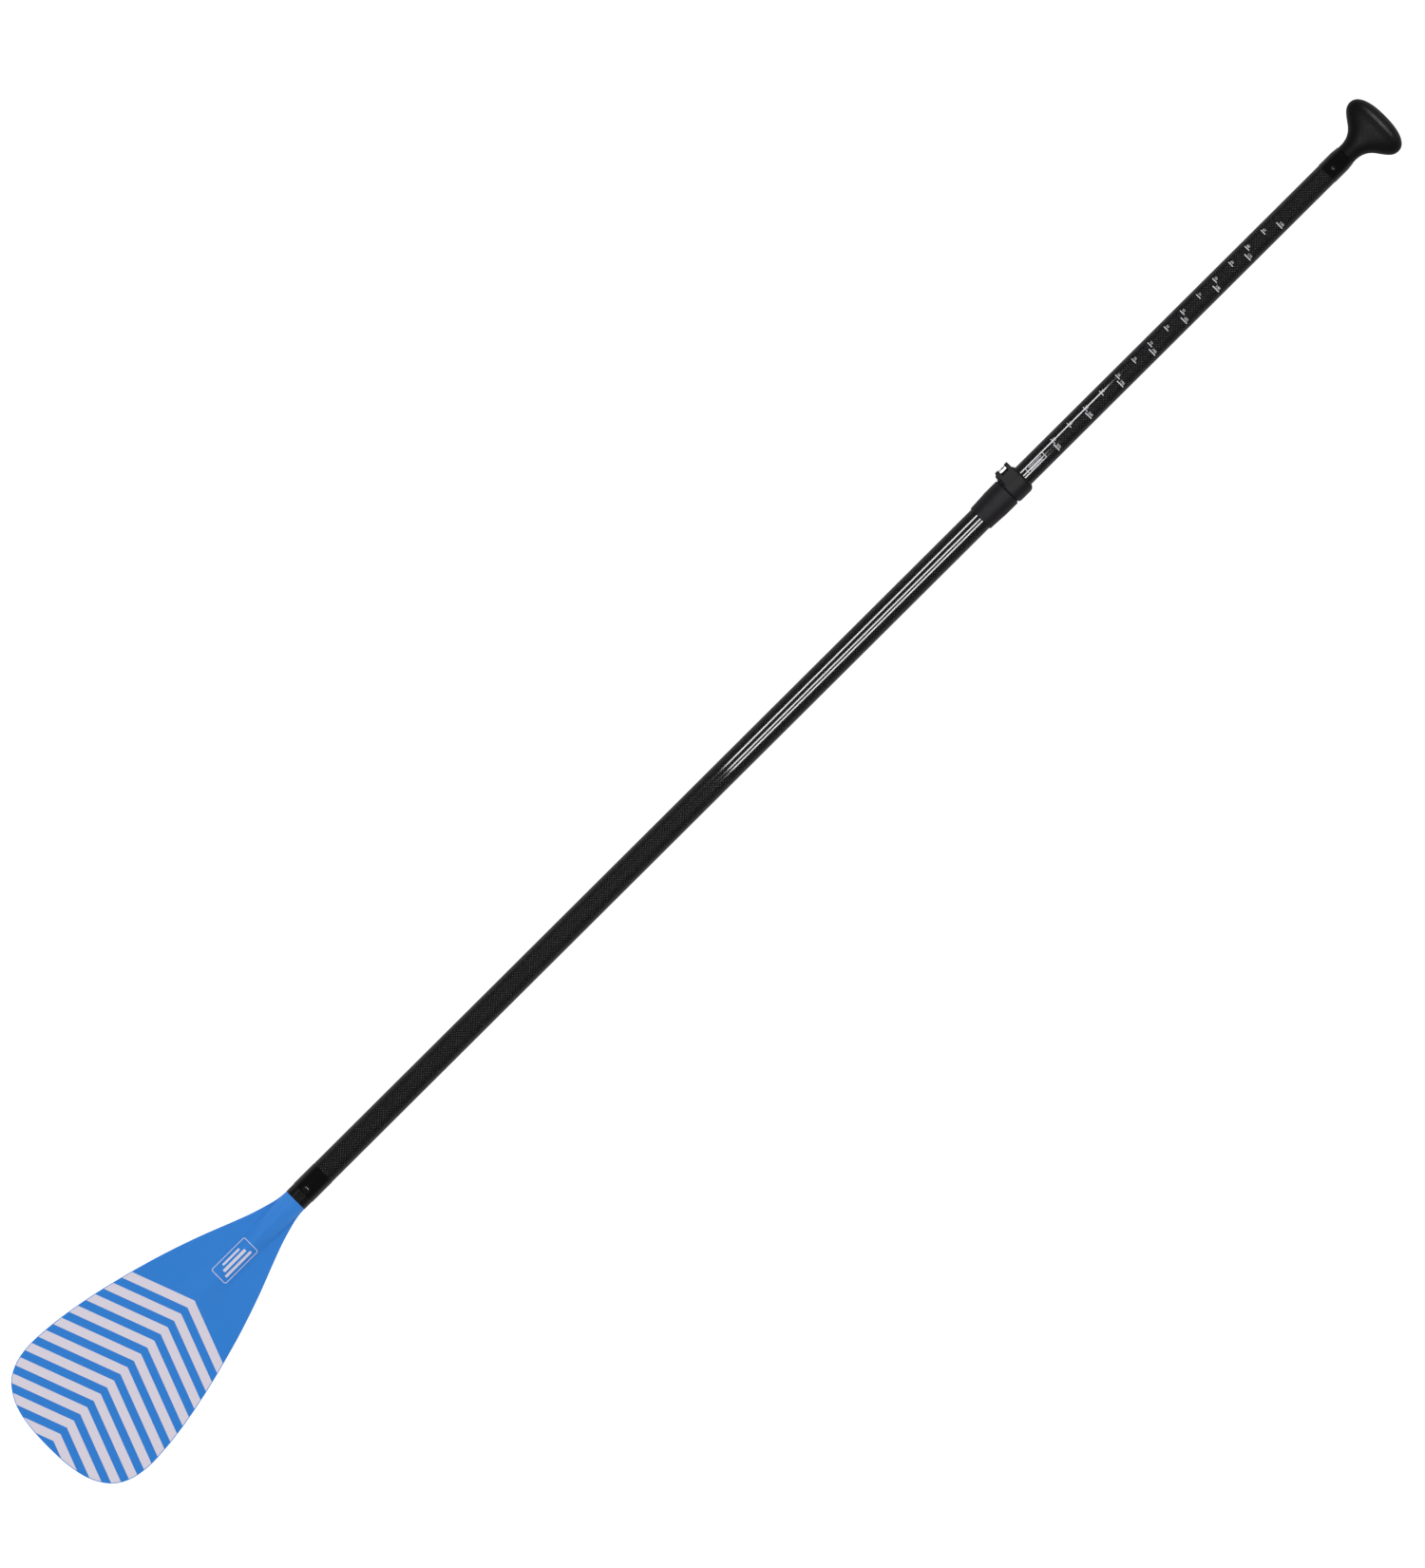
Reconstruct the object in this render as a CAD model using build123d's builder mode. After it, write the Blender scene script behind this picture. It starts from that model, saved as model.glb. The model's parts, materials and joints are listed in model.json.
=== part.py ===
from build123d import *
import math
import os

# Adjustable stand-up paddle with a detachable blade, lying flat.
# +X runs along the shaft from the blade to the palm grip, +Z is the normal of the
# printed blade face, z = 0 is the surface the paddle lies on.

os.makedirs("parts", exist_ok=True)

# ---------------------------------------------------------------- driving dimensions (mm)
total_length = 2100.0          # fully extended
half_length = total_length / 2
axis_z = 17.5                  # height of the shaft axis
travel = 400.0                 # length adjustment, 170 to 210 cm

blade_length = 388.0
neck_x = -half_length + blade_length        # face where blade and shaft meet
neck_r = 14.1
blade_edge = 1.4               # half thickness of the blade near its rim
cant_slope = math.tan(math.radians(9.0))    # blade leans up from the shaft line

lower_od_r = 14.5              # 29 mm tube
lower_id_r = 13.5
lower_top_x = 455.2
upper_od_r = 13.0              # 26 mm tube
upper_id_r = 12.0
upper_bottom_x = 330.0
upper_top_x = 977.0

end_ring_len = 12.0
end_sleeve_len = 31.5
end_sleeve_r = 14.8
button_x = neck_x + 18.0
button_r = 4.0
button_hole_r = 4.75
ferrule_r = 13.45
ferrule_bore_r = 11.9
ferrule_root_r = 11.0
ferrule_root_len = 60.0
ferrule_stub_len = 95.0

clamp_x0 = 414.0
clamp_seam_x = 456.5
clamp_x1 = 480.6
collar_r = 17.15
pocket_r = 15.2
lever_in_r = 15.5
lever_out_r = 17.2
pin_y = 20.4
pin_z = 9.6                    # above the shaft axis
ear_top = 4.7
slit_half = 1.0

sleeve_x0 = 958.2
grip_x0 = 987.6
grip_length = half_length - grip_x0

AX = Plane(origin=(0, 0, axis_z), x_dir=(0, 1, 0), z_dir=(1, 0, 0))   # local x = +Y, local y = +Z
SHAFT = Axis((0, 0, axis_z), (1, 0, 0))


def prof(pts):
    """Profile points given as (x, radius) put in the XZ plane around the shaft axis."""
    return [(x, axis_z + r) for x, r in pts]


def lerp_table(table, d):
    """Smooth (monotone cubic) reading of a table of (d, value)."""
    n = len(table)
    xs = [t[0] for t in table]
    ys = [t[1] for t in table]
    if d <= xs[0]:
        return ys[0]
    if d >= xs[-1]:
        return ys[-1]
    h = [xs[i + 1] - xs[i] for i in range(n - 1)]
    s = [(ys[i + 1] - ys[i]) / h[i] for i in range(n - 1)]
    m = [s[0]] + [0.0 if s[i - 1] * s[i] <= 0 else
                  3 * (h[i - 1] + h[i]) / ((2 * h[i] + h[i - 1]) / s[i - 1] + (h[i] + 2 * h[i - 1]) / s[i])
                  for i in range(1, n - 1)] + [s[-1]]
    k = max(i for i in range(n - 1) if xs[i] <= d)
    t = (d - xs[k]) / h[k]
    return ((2 * t**3 - 3 * t**2 + 1) * ys[k] + (t**3 - 2 * t**2 + t) * h[k] * m[k]
            + (-2 * t**3 + 3 * t**2) * ys[k + 1] + (t**3 - t**2) * h[k] * m[k + 1])


# ---------------------------------------------------------------- blade surfaces
# d is the distance from the neck face, y the distance from the centre line
half_width = [(0, 14.1), (6.8, 14.5), (15.3, 15.8), (23.7, 17.9), (32.2, 20.3), (40.7, 22.9), (49.2, 25.8),
              (66.1, 32.2), (83.1, 38.9), (100.1, 45.5), (117.0, 51.6), (134.0, 57.4), (150.9, 62.8),
              (167.9, 67.8), (184.9, 72.5), (201.8, 76.9), (218.8, 81.0), (235.8, 84.7), (252.7, 88.0),
              (269.7, 90.8), (286.6, 93.0), (303.6, 94.5), (318.0, 95.1), (330.0, 94.4), (340.3, 92.8),
              (346.7, 91.0), (353.2, 88.4), (359.7, 84.8), (366.1, 79.8), (370.4, 74.9), (374.7, 68.7),
              (379.0, 60.6), (383.2, 48.6), (385.9, 34.5), (387.4, 20.0), (388.0, 0.0)]
front_core = [(-5, 14.1), (0, 14.1), (20, 13.9), (40, 13.0), (60, 11.4), (80, 9.4), (110, 6.4), (140, 4.0),
              (175, 2.2), (215, 1.0), (260, 0.3), (395, 0.0)]
front_width = [(-5, 14.1), (0, 14.1), (40, 14.3), (80, 15.5), (120, 18.5), (160, 23.0), (220, 30.0), (395, 40.0)]
back_core = [(-5, 14.1), (0, 14.1), (22, 16.3), (45, 17.7), (70, 18.3), (100, 17.1), (140, 13.6), (180, 9.8),
             (220, 6.6), (260, 4.2), (300, 2.4), (340, 1.0), (395, 0.0)]
back_width = [(-5, 14.1), (0, 14.1), (50, 14.6), (100, 15.6), (200, 18.0), (300, 22.0), (395, 26.0)]
blend = [(-5, 0.6), (0, 0.6), (15, 2.0), (40, 5.0), (90, 6.5), (160, 5.0), (240, 3.0), (320, 1.5), (395, 1.0)]


def cant(d):
    if d < 20:
        return 0.0
    if d < 80:
        return cant_slope * (d - 20) ** 2 / 120.0
    return cant_slope * (d - 50)


def side(d, y, heights, widths):
    h = lerp_table(heights, d)
    w = lerp_table(widths, d)
    k = lerp_table(blend, d)
    t = abs(y) / w
    round_part = math.sqrt(max(0.0, 1 - t * t))
    soft_part = math.exp(-1.9 * t ** 2.6)
    mix = min(1.0, max(0.0, (d - 8.0) / 70.0))
    mix = mix * mix * (3 - 2 * mix)
    c = h * ((1 - mix) * round_part + mix * soft_part)
    return 0.5 * (c + blade_edge + math.sqrt((c - blade_edge) ** 2 + k * k)) - 0.5 * (
        math.sqrt(blade_edge ** 2 + k * k) - blade_edge) * min(1.0, t)


def front_z(d, y):
    return axis_z + cant(d) + side(d, y, front_core, front_width)


def back_z(d, y):
    return axis_z + cant(d) - side(d, y, back_core, back_width)


rows_d = [-4, 0, 4, 8, 13, 18, 24, 30, 37, 44, 52, 60, 69, 78, 88, 98, 109, 120, 132, 144, 157, 170, 184, 198, 213,
          228, 244, 260, 277, 294, 312, 330, 350, 370, 392]
cols_y = [-100, -85, -70, -57, -46, -37, -30, -25, -21, -18, -15.5, -13.5, -11.5, -9, -6, -3, 0,
          3, 6, 9, 11.5, 13.5, 15.5, 18, 21, 25, 30, 37, 46, 57, 70, 85, 100]
front_face = Face.make_surface_from_array_of_points(
    [[Vector(neck_x - d, y, front_z(d, y)) for y in cols_y] for d in rows_d], tol=0.02, min_deg=3, max_deg=6)
back_face = Face.make_surface_from_array_of_points(
    [[Vector(neck_x - d, y, back_z(d, y)) for y in cols_y] for d in rows_d], tol=0.02, min_deg=3, max_deg=6)

with BuildPart() as blade:
    extrude(to_extrude=front_face, amount=90, dir=(0, 0, -1))
    extrude(to_extrude=back_face, amount=150, dir=(0, 0, 1), mode=Mode.INTERSECT)
    with BuildSketch(Plane.XY.offset(-60)):
        with BuildLine():
            pts = [(neck_x - d, w) for d, w in half_width]
            sp = Spline(*pts, tangents=((-1, 0.0), (0, -1)))
            mirror(sp, about=Plane.XZ)
            Line((neck_x, neck_r), (neck_x, -neck_r))
        make_face()
    extrude(amount=220, mode=Mode.INTERSECT)
    with BuildSketch(AX.offset(neck_x)):
        Circle(neck_r)
    extrude(amount=-8)
    with BuildSketch(AX.offset(neck_x)):
        Circle(ferrule_root_r)
    extrude(amount=-ferrule_root_len, mode=Mode.SUBTRACT)
blade.part.label = "blade"
export_step(blade.part, "parts/blade.step")

# ---------------------------------------------------------------- ferrule, plug, spring, button
with BuildPart() as blade_ferrule:
    with BuildSketch(Plane.XZ):
        with BuildLine():
            Polyline(*prof([(neck_x - ferrule_root_len, 9.0), (neck_x - ferrule_root_len, ferrule_root_r - 0.6),
                            (neck_x - ferrule_root_len + 0.8, ferrule_root_r), (neck_x, ferrule_root_r),
                            (neck_x, ferrule_r), (neck_x + ferrule_stub_len - 1.2, ferrule_r),
                            (neck_x + ferrule_stub_len, ferrule_r - 0.7), (neck_x + ferrule_stub_len, ferrule_bore_r),
                            (neck_x + 6, ferrule_bore_r), (neck_x + 3, 9.0)]), close=True)
        make_face()
    revolve(axis=SHAFT)
    with BuildSketch(Plane.XY.offset(axis_z)):
        with Locations((button_x, 0)):
            Circle(button_r + 0.08)
    extrude(amount=20, mode=Mode.SUBTRACT)
blade_ferrule.part.label = "blade_ferrule"
export_step(blade_ferrule.part, "parts/blade_ferrule.step")

with BuildPart() as ferrule_plug:
    x_end = neck_x + ferrule_stub_len
    with BuildSketch(Plane.XZ):
        with BuildLine():
            Polyline(*prof([(x_end - 12, 0), (x_end - 12, ferrule_bore_r - 0.5), (x_end - 11, ferrule_bore_r),
                            (x_end, ferrule_bore_r), (x_end, 13.2), (x_end + 1.2, 13.2), (x_end + 2.4, 12.2),
                            (x_end + 2.4, 0)]), close=True)
        make_face()
    revolve(axis=SHAFT)
ferrule_plug.part.label = "ferrule_plug"
export_step(ferrule_plug.part, "parts/ferrule_plug.step")

with BuildPart() as button_spring:
    t = 0.6
    with BuildSketch(Plane.XZ.offset(-3.5)):
        with BuildLine():
            Polyline(*prof([(button_x - 5.5, 9.1), (button_x + 5.5, 9.1), (button_x + 36, 1.7), (button_x + 38.5, 0.9),
                            (button_x + 38.5, -0.9), (button_x + 36, -1.7), (button_x - 2, -11.2),
                            (button_x - 8, -11.2), (button_x - 8, -11.2 + t), (button_x - 2, -11.2 + t),
                            (button_x + 35.6, -1.7 + t), (button_x + 37.6, -0.5), (button_x + 37.6, 0.5),
                            (button_x + 35.6, 1.7 - t), (button_x + 5.5, 9.1 - t), (button_x - 5.5, 9.1 - t)]),
                     close=True)
        make_face()
    extrude(amount=7)
button_spring.part.label = "button_spring"
export_step(button_spring.part, "parts/button_spring.step")

with BuildPart() as snap_button:
    with BuildSketch(Plane.XZ):
        with BuildLine():
            l1 = Polyline((button_x, axis_z + 9.2), (button_x + 5.2, axis_z + 9.2), (button_x + 5.2, axis_z + 10.45),
                          (button_x + button_r, axis_z + 10.45), (button_x + button_r, axis_z + 14.7))
            l2 = Spline((button_x + button_r, axis_z + 14.7), (button_x + 2.75, axis_z + 16.35),
                        (button_x, axis_z + 17.0), tangents=((0, 1), (-1, 0)))
            Line((button_x, axis_z + 17.0), (button_x, axis_z + 9.2))
        make_face()
    revolve(axis=Axis((button_x, 0, 0), (0, 0, 1)))
snap_button.part.label = "snap_button"
export_step(snap_button.part, "parts/snap_button.step")

# ---------------------------------------------------------------- lower shaft
with BuildPart() as lower_tube:
    with BuildSketch(Plane.XZ):
        with BuildLine():
            Polyline(*prof([(neck_x + 0.2, lower_id_r), (neck_x + 0.2, 14.0), (neck_x + end_ring_len, 14.0),
                            (neck_x + end_ring_len, lower_od_r), (lower_top_x, lower_od_r),
                            (lower_top_x, lower_id_r)]), close=True)
        make_face()
    revolve(axis=SHAFT)
    with BuildSketch(Plane.XY.offset(axis_z)):
        with Locations((button_x, 0)):
            Circle(button_hole_r)
    extrude(amount=20, mode=Mode.SUBTRACT)
lower_tube.part.label = "lower_tube"
export_step(lower_tube.part, "parts/lower_tube.step")

with BuildPart() as shaft_end_ring:
    with BuildSketch(Plane.XZ):
        with BuildLine():
            Polyline(*prof([(neck_x + 0.2, 14.0), (neck_x + 0.2, 14.3), (neck_x + 0.4, 14.4),
                            (neck_x + end_ring_len, 14.4), (neck_x + end_ring_len, 14.0)]), close=True)
        make_face()
    revolve(axis=SHAFT)
shaft_end_ring.part.label = "shaft_end_ring"
export_step(shaft_end_ring.part, "parts/shaft_end_ring.step")

with BuildPart() as shaft_end_sleeve:
    x0 = neck_x + end_ring_len
    with BuildSketch(Plane.XZ):
        with BuildLine():
            Polyline(*prof([(x0, lower_od_r), (x0, end_sleeve_r - 0.1), (x0 + 0.3, end_sleeve_r),
                            (x0 + end_sleeve_len - 0.6, end_sleeve_r), (x0 + end_sleeve_len, end_sleeve_r - 0.18),
                            (x0 + end_sleeve_len, lower_od_r)]), close=True)
        make_face()
    revolve(axis=SHAFT)
    with BuildSketch(Plane.XY.offset(axis_z)):
        with Locations((button_x, 0)):
            Circle(button_hole_r)
    extrude(amount=20, mode=Mode.SUBTRACT)
shaft_end_sleeve.part.label = "shaft_end_sleeve"
export_step(shaft_end_sleeve.part, "parts/shaft_end_sleeve.step")

with BuildPart() as lower_tube_plug:
    with BuildSketch(AX.offset(-190)):
        Circle(lower_id_r)
    extrude(amount=40)
    chamfer(lower_tube_plug.edges(), length=1.0)
lower_tube_plug.part.label = "lower_tube_plug"
export_step(lower_tube_plug.part, "parts/lower_tube_plug.step")

# ---------------------------------------------------------------- clamp
with BuildPart() as clamp_body:
    with BuildSketch(Plane.XZ):
        with BuildLine():
            Polyline(*prof([(clamp_x0, lower_od_r), (clamp_x0, 15.4), (clamp_x0 + 0.8, 15.8), (clamp_x0 + 25, collar_r),
                            (clamp_seam_x - 0.5, collar_r), (clamp_seam_x - 0.5, 15.9), (clamp_seam_x + 0.5, 15.9),
                            (clamp_seam_x + 0.5, collar_r), (clamp_x1 - 3.2, collar_r), (clamp_x1 - 1.6, 16.7),
                            (clamp_x1 - 0.4, 15.8), (clamp_x1, 15.0), (clamp_x1, 13.35),
                            (lower_top_x + 0.2, 13.35), (lower_top_x + 0.2, lower_od_r)]), close=True)
        make_face()
    revolve(axis=SHAFT)
    # pocket that the closed lever lies in
    with BuildSketch(AX.offset(clamp_seam_x + 0.5)):
        with BuildLine():
            a0, a1 = 8.0, 211.0
            CenterArc((0, 0), pocket_r, a0, a1 - a0)
            CenterArc((0, 0), 22.0, a0, a1 - a0)
            Line((pocket_r * math.cos(math.radians(a0)), pocket_r * math.sin(math.radians(a0))),
                 (22 * math.cos(math.radians(a0)), 22 * math.sin(math.radians(a0))))
            Line((pocket_r * math.cos(math.radians(a1)), pocket_r * math.sin(math.radians(a1))),
                 (22 * math.cos(math.radians(a1)), 22 * math.sin(math.radians(a1))))
        make_face()
    extrude(amount=22.5, mode=Mode.SUBTRACT)
    # two ears for the tension bolt
    with BuildSketch(Plane.XY.offset(axis_z - ear_top)):
        with BuildLine():
            Polyline((clamp_seam_x + 1.6, 13.8), (clamp_seam_x + 1.6, 20.4), (clamp_seam_x + 4.2, 22.9), (479.0, 22.9),
                     (479.4, 22.2), (479.4, 13.8), close=True)
        make_face()
    extrude(amount=2 * ear_top)
    with BuildSketch(Plane.XY.offset(axis_z - slit_half)):
        with Locations((472.0, 18.0)):
            Rectangle(29.0, 18.0)
    extrude(amount=2 * slit_half, mode=Mode.SUBTRACT)
    with BuildSketch(Plane.XY.offset(axis_z - 12)):
        with Locations((470.0, pin_y)):
            Circle(1.9)
    extrude(amount=24, mode=Mode.SUBTRACT)
clamp_body.part.label = "clamp_body"
export_step(clamp_body.part, "parts/clamp_body.step")

with BuildPart() as clamp_liner:
    with BuildSketch(Plane.XZ):
        with BuildLine():
            Polyline(*prof([(456.4, 13.06), (456.4, 13.35), (clamp_x1, 13.35), (clamp_x1, 14.6),
                            (clamp_x1 + 0.5, 14.4), (clamp_x1 + 0.8, 13.8), (clamp_x1 + 0.8, 13.06)]), close=True)
        make_face()
    revolve(axis=SHAFT)
    with BuildSketch(Plane.XY.offset(axis_z - slit_half)):
        with Locations((472.0, 18.0)):
            Rectangle(29.0, 18.0)
    extrude(amount=2 * slit_half, mode=Mode.SUBTRACT)
clamp_liner.part.label = "clamp_liner"
export_step(clamp_liner.part, "parts/clamp_liner.step")

with BuildPart() as lever_pin:
    with BuildSketch(AX.offset(460.5)):
        with Locations((pin_y, pin_z)):
            Circle(1.5)
    extrude(amount=18.9)
    chamfer(lever_pin.edges(), length=0.3)
lever_pin.part.label = "lever_pin"
export_step(lever_pin.part, "parts/lever_pin.step")

with BuildPart() as tension_bolt:
    with BuildSketch(AX.offset(465.8)):
        with Locations((pin_y, pin_z)):
            Circle(3.0)
    extrude(amount=8.4)
    with BuildSketch(Plane.XY.offset(axis_z - 9.2)):
        with Locations((470.0, pin_y)):
            Circle(1.75)
    extrude(amount=16.9)
    with BuildSketch(AX.offset(465.0)):
        with Locations((pin_y, pin_z)):
            Circle(1.5)
    extrude(amount=10, mode=Mode.SUBTRACT)
tension_bolt.part.label = "tension_bolt"
export_step(tension_bolt.part, "parts/tension_bolt.step")

with BuildPart() as tension_nut:
    with BuildSketch(Plane.XY.offset(axis_z - ear_top)):
        with Locations((470.0, pin_y)):
            RegularPolygon(radius=4.0, side_count=6)
            Circle(1.75, mode=Mode.SUBTRACT)
    extrude(amount=-3.4)
tension_nut.part.label = "tension_nut"
export_step(tension_nut.part, "parts/tension_nut.step")

with BuildPart() as clamp_lever:
    # curved plate over the collar
    with BuildSketch(AX.offset(458.0)):
        with BuildLine():
            a0, a1 = 40.0, 197.0
            CenterArc((0, 0), lever_in_r, a0, a1 - a0)
            CenterArc((0, 0), lever_out_r, a0, a1 - a0)
            Line((lever_in_r * math.cos(math.radians(a0)), lever_in_r * math.sin(math.radians(a0))),
                 (lever_out_r * math.cos(math.radians(a0)), lever_out_r * math.sin(math.radians(a0))))
            Line((lever_in_r * math.cos(math.radians(a1)), lever_in_r * math.sin(math.radians(a1))),
                 (lever_out_r * math.cos(math.radians(a1)), lever_out_r * math.sin(math.radians(a1))))
        make_face()
    extrude(amount=21.2)
    # finger tab at its free end
    with BuildSketch(AX.offset(460.0)):
        with BuildLine():
            a0, a1 = 192.0, 206.0
            CenterArc((0, 0), lever_in_r + 0.1, a0, a1 - a0)
            CenterArc((0, 0), 18.3, a0, a1 - a0)
            Line(((lever_in_r + 0.1) * math.cos(math.radians(a0)), (lever_in_r + 0.1) * math.sin(math.radians(a0))),
                 (18.3 * math.cos(math.radians(a0)), 18.3 * math.sin(math.radians(a0))))
            Line(((lever_in_r + 0.1) * math.cos(math.radians(a1)), (lever_in_r + 0.1) * math.sin(math.radians(a1))),
                 (18.3 * math.cos(math.radians(a1)), 18.3 * math.sin(math.radians(a1))))
        make_face()
    extrude(amount=17.2)
    # cam arms
    with BuildSketch(AX.offset(460.7)):
        with Locations((pin_y, pin_z - 0.5)):
            Circle(4.1)
        with BuildLine():
            Polyline((6.0, 16.1), (pin_y + 0.5, 13.15), (pin_y + 0.5, 5.05), (12.0, 5.05), (6.0, 13.0), close=True)
        make_face()
        Circle(lever_in_r, mode=Mode.SUBTRACT)
    extrude(amount=18.5)
    with BuildSketch(Plane.XY.offset(axis_z + 4.0)):
        with Locations((470.0, 21.4)):
            Rectangle(9.2, 10.0)
    extrude(amount=12, mode=Mode.SUBTRACT)
    with BuildSketch(AX.offset(455)):
        with Locations((pin_y, pin_z)):
            Circle(1.56)
    extrude(amount=30, mode=Mode.SUBTRACT)
clamp_lever.part.label = "clamp_lever"
export_step(clamp_lever.part, "parts/clamp_lever.step")

# ---------------------------------------------------------------- upper shaft
with BuildPart() as upper_tube:
    with BuildSketch(AX.offset(upper_bottom_x)):
        Circle(upper_od_r)
        Circle(upper_id_r, mode=Mode.SUBTRACT)
    extrude(amount=upper_top_x - upper_bottom_x)
    with BuildSketch(Plane.XY.offset(axis_z)):
        with Locations((968.0, 0)):
            Circle(1.5)
    extrude(amount=20, mode=Mode.SUBTRACT)
upper_tube.part.label = "upper_tube"
export_step(upper_tube.part, "parts/upper_tube.step")

with BuildPart() as upper_tube_plug:
    x0 = upper_bottom_x
    with BuildSketch(Plane.XZ):
        with BuildLine():
            Polyline(*prof([(x0 - 8, 0), (x0 - 8, 12.6), (x0 - 7.4, 13.2), (x0 - 6, 13.2), (x0 - 6, 12.2),
                            (x0 - 2, 12.2), (x0 - 2, 13.2), (x0, 13.2), (x0, upper_id_r), (x0 + 19, upper_id_r),
                            (x0 + 20, upper_id_r - 0.8), (x0 + 20, 9.5), (x0 + 2, 9.5), (x0 + 2, 0)]), close=True)
        make_face()
    revolve(axis=SHAFT)
upper_tube_plug.part.label = "upper_tube_plug"
export_step(upper_tube_plug.part, "parts/upper_tube_plug.step")

with BuildPart() as glide_ring:
    with BuildSketch(AX.offset(upper_bottom_x - 5.9)):
        Circle(13.43)
        Circle(12.27, mode=Mode.SUBTRACT)
    extrude(amount=3.8)
glide_ring.part.label = "glide_ring"
export_step(glide_ring.part, "parts/glide_ring.step")

with BuildPart() as grip_sleeve:
    with BuildSketch(Plane.XZ):
        with BuildLine():
            Polyline(*prof([(sleeve_x0, upper_od_r), (sleeve_x0, 13.25), (sleeve_x0 + 0.3, 13.45),
                            (sleeve_x0 + 19.5, 13.45), (sleeve_x0 + 21.5, 13.3), (grip_x0 - 0.4, 12.45),
                            (grip_x0, 12.3), (grip_x0, 11.85), (upper_top_x + 0.3, 11.85),
                            (upper_top_x + 0.3, upper_od_r)]), close=True)
        make_face()
    revolve(axis=SHAFT)
    with BuildSketch(Plane.XY.offset(axis_z)):
        with Locations((968.0, 0)):
            Circle(1.5)
    extrude(amount=20, mode=Mode.SUBTRACT)
grip_sleeve.part.label = "grip_sleeve"
export_step(grip_sleeve.part, "parts/grip_sleeve.step")

with BuildPart() as grip_spigot:
    with BuildSketch(Plane.XZ):
        with BuildLine():
            Polyline(*prof([(935, 9.0), (935, 11.2), (936, upper_id_r), (upper_top_x, upper_id_r),
                            (upper_top_x + 0.3, 11.85), (grip_x0, 11.85), (grip_x0, 8.0), (1011.0, 8.0),
                            (1012.0, 7.0), (1012.0, 0), (1006.0, 0), (1006.0, 5.5), (975.0, 5.5),
                            (975.0, 9.0)]), close=True)
        make_face()
    revolve(axis=SHAFT)
    with BuildSketch(Plane.XY.offset(axis_z)):
        with Locations((968.0, 0)):
            Circle(1.5)
    extrude(amount=20, mode=Mode.SUBTRACT)
grip_spigot.part.label = "grip_spigot"
export_step(grip_spigot.part, "parts/grip_spigot.step")

with BuildPart() as grip_rivet:
    with BuildSketch(Plane.XZ):
        with BuildLine():
            Polyline((968.0, axis_z + 9.4), (969.5, axis_z + 9.4), (969.5, axis_z + 13.45), (970.8, axis_z + 13.45),
                     (970.4, axis_z + 13.9), (969.2, axis_z + 14.15), (968.0, axis_z + 14.2), close=True)
        make_face()
    revolve(axis=Axis((968.0, 0, 0), (0, 0, 1)))
grip_rivet.part.label = "grip_rivet"
export_step(grip_rivet.part, "parts/grip_rivet.step")

# palm grip: stations along X, each a rounded section of half width w and half thickness h
grip_w = [(0, 11.9), (4.9, 11.75), (8.8, 12.1), (12.7, 13.0), (16.7, 14.7), (20.6, 17.2), (24.5, 21.1), (28.4, 26.4),
          (32.4, 31.6), (36.3, 35.5), (40.2, 37.8), (44.1, 38.7), (48.0, 38.2), (52.0, 36.4), (55.9, 32.6),
          (59.0, 26.4), (61.4, 14.4), (62.2, 5.8)]
grip_h = [(0, 11.9), (8.8, 11.8), (16.7, 12.3), (24.5, 13.8), (32.4, 15.8), (40.2, 17.2), (44.1, 17.48), (48.0, 17.2),
          (52.0, 16.0), (55.9, 13.4), (59.0, 9.8), (61.4, 4.8), (62.4, 2.0)]
grip_n = [(0, 2.0), (12, 2.0), (30, 2.3), (44, 2.6), (62.4, 2.4)]
stations = [0.0, 5.0, 10.0, 15.0, 20.0, 24.5, 28.4, 32.4, 36.3, 40.2, 44.1, 48.0, 52.0, 55.9, 59.0, 61.2, grip_length]

with BuildPart() as palm_grip:
    for s in stations:
        w = lerp_table(grip_w, s)
        h = lerp_table(grip_h, s)
        n = lerp_table(grip_n, s)
        ring = []
        for i in range(28):
            a = 2 * math.pi * i / 28
            c, q = math.cos(a), math.sin(a)
            ring.append((math.copysign(abs(c) ** (2 / n), c) * w, math.copysign(abs(q) ** (2 / n), q) * h))
        with BuildSketch(AX.offset(grip_x0 + s)):
            with BuildLine():
                Spline(*ring, periodic=True)
            make_face()
    loft()
    with BuildSketch(AX.offset(grip_x0)):
        Circle(8.0)
    extrude(amount=24.6, mode=Mode.SUBTRACT)
palm_grip.part.label = "palm_grip"
export_step(palm_grip.part, "parts/palm_grip.step")

for p in (blade, blade_ferrule, clamp_body, clamp_lever, palm_grip):
    b = p.part.bounding_box()
    print(p.part.label, round(p.part.volume / 1000, 2), "cm3", b.min, b.max, len(p.part.solids()))
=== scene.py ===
import json
import math

import bmesh
import bpy
import numpy as np
from mathutils import Matrix, Vector
from mathutils.geometry import delaunay_2d_cdt

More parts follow.
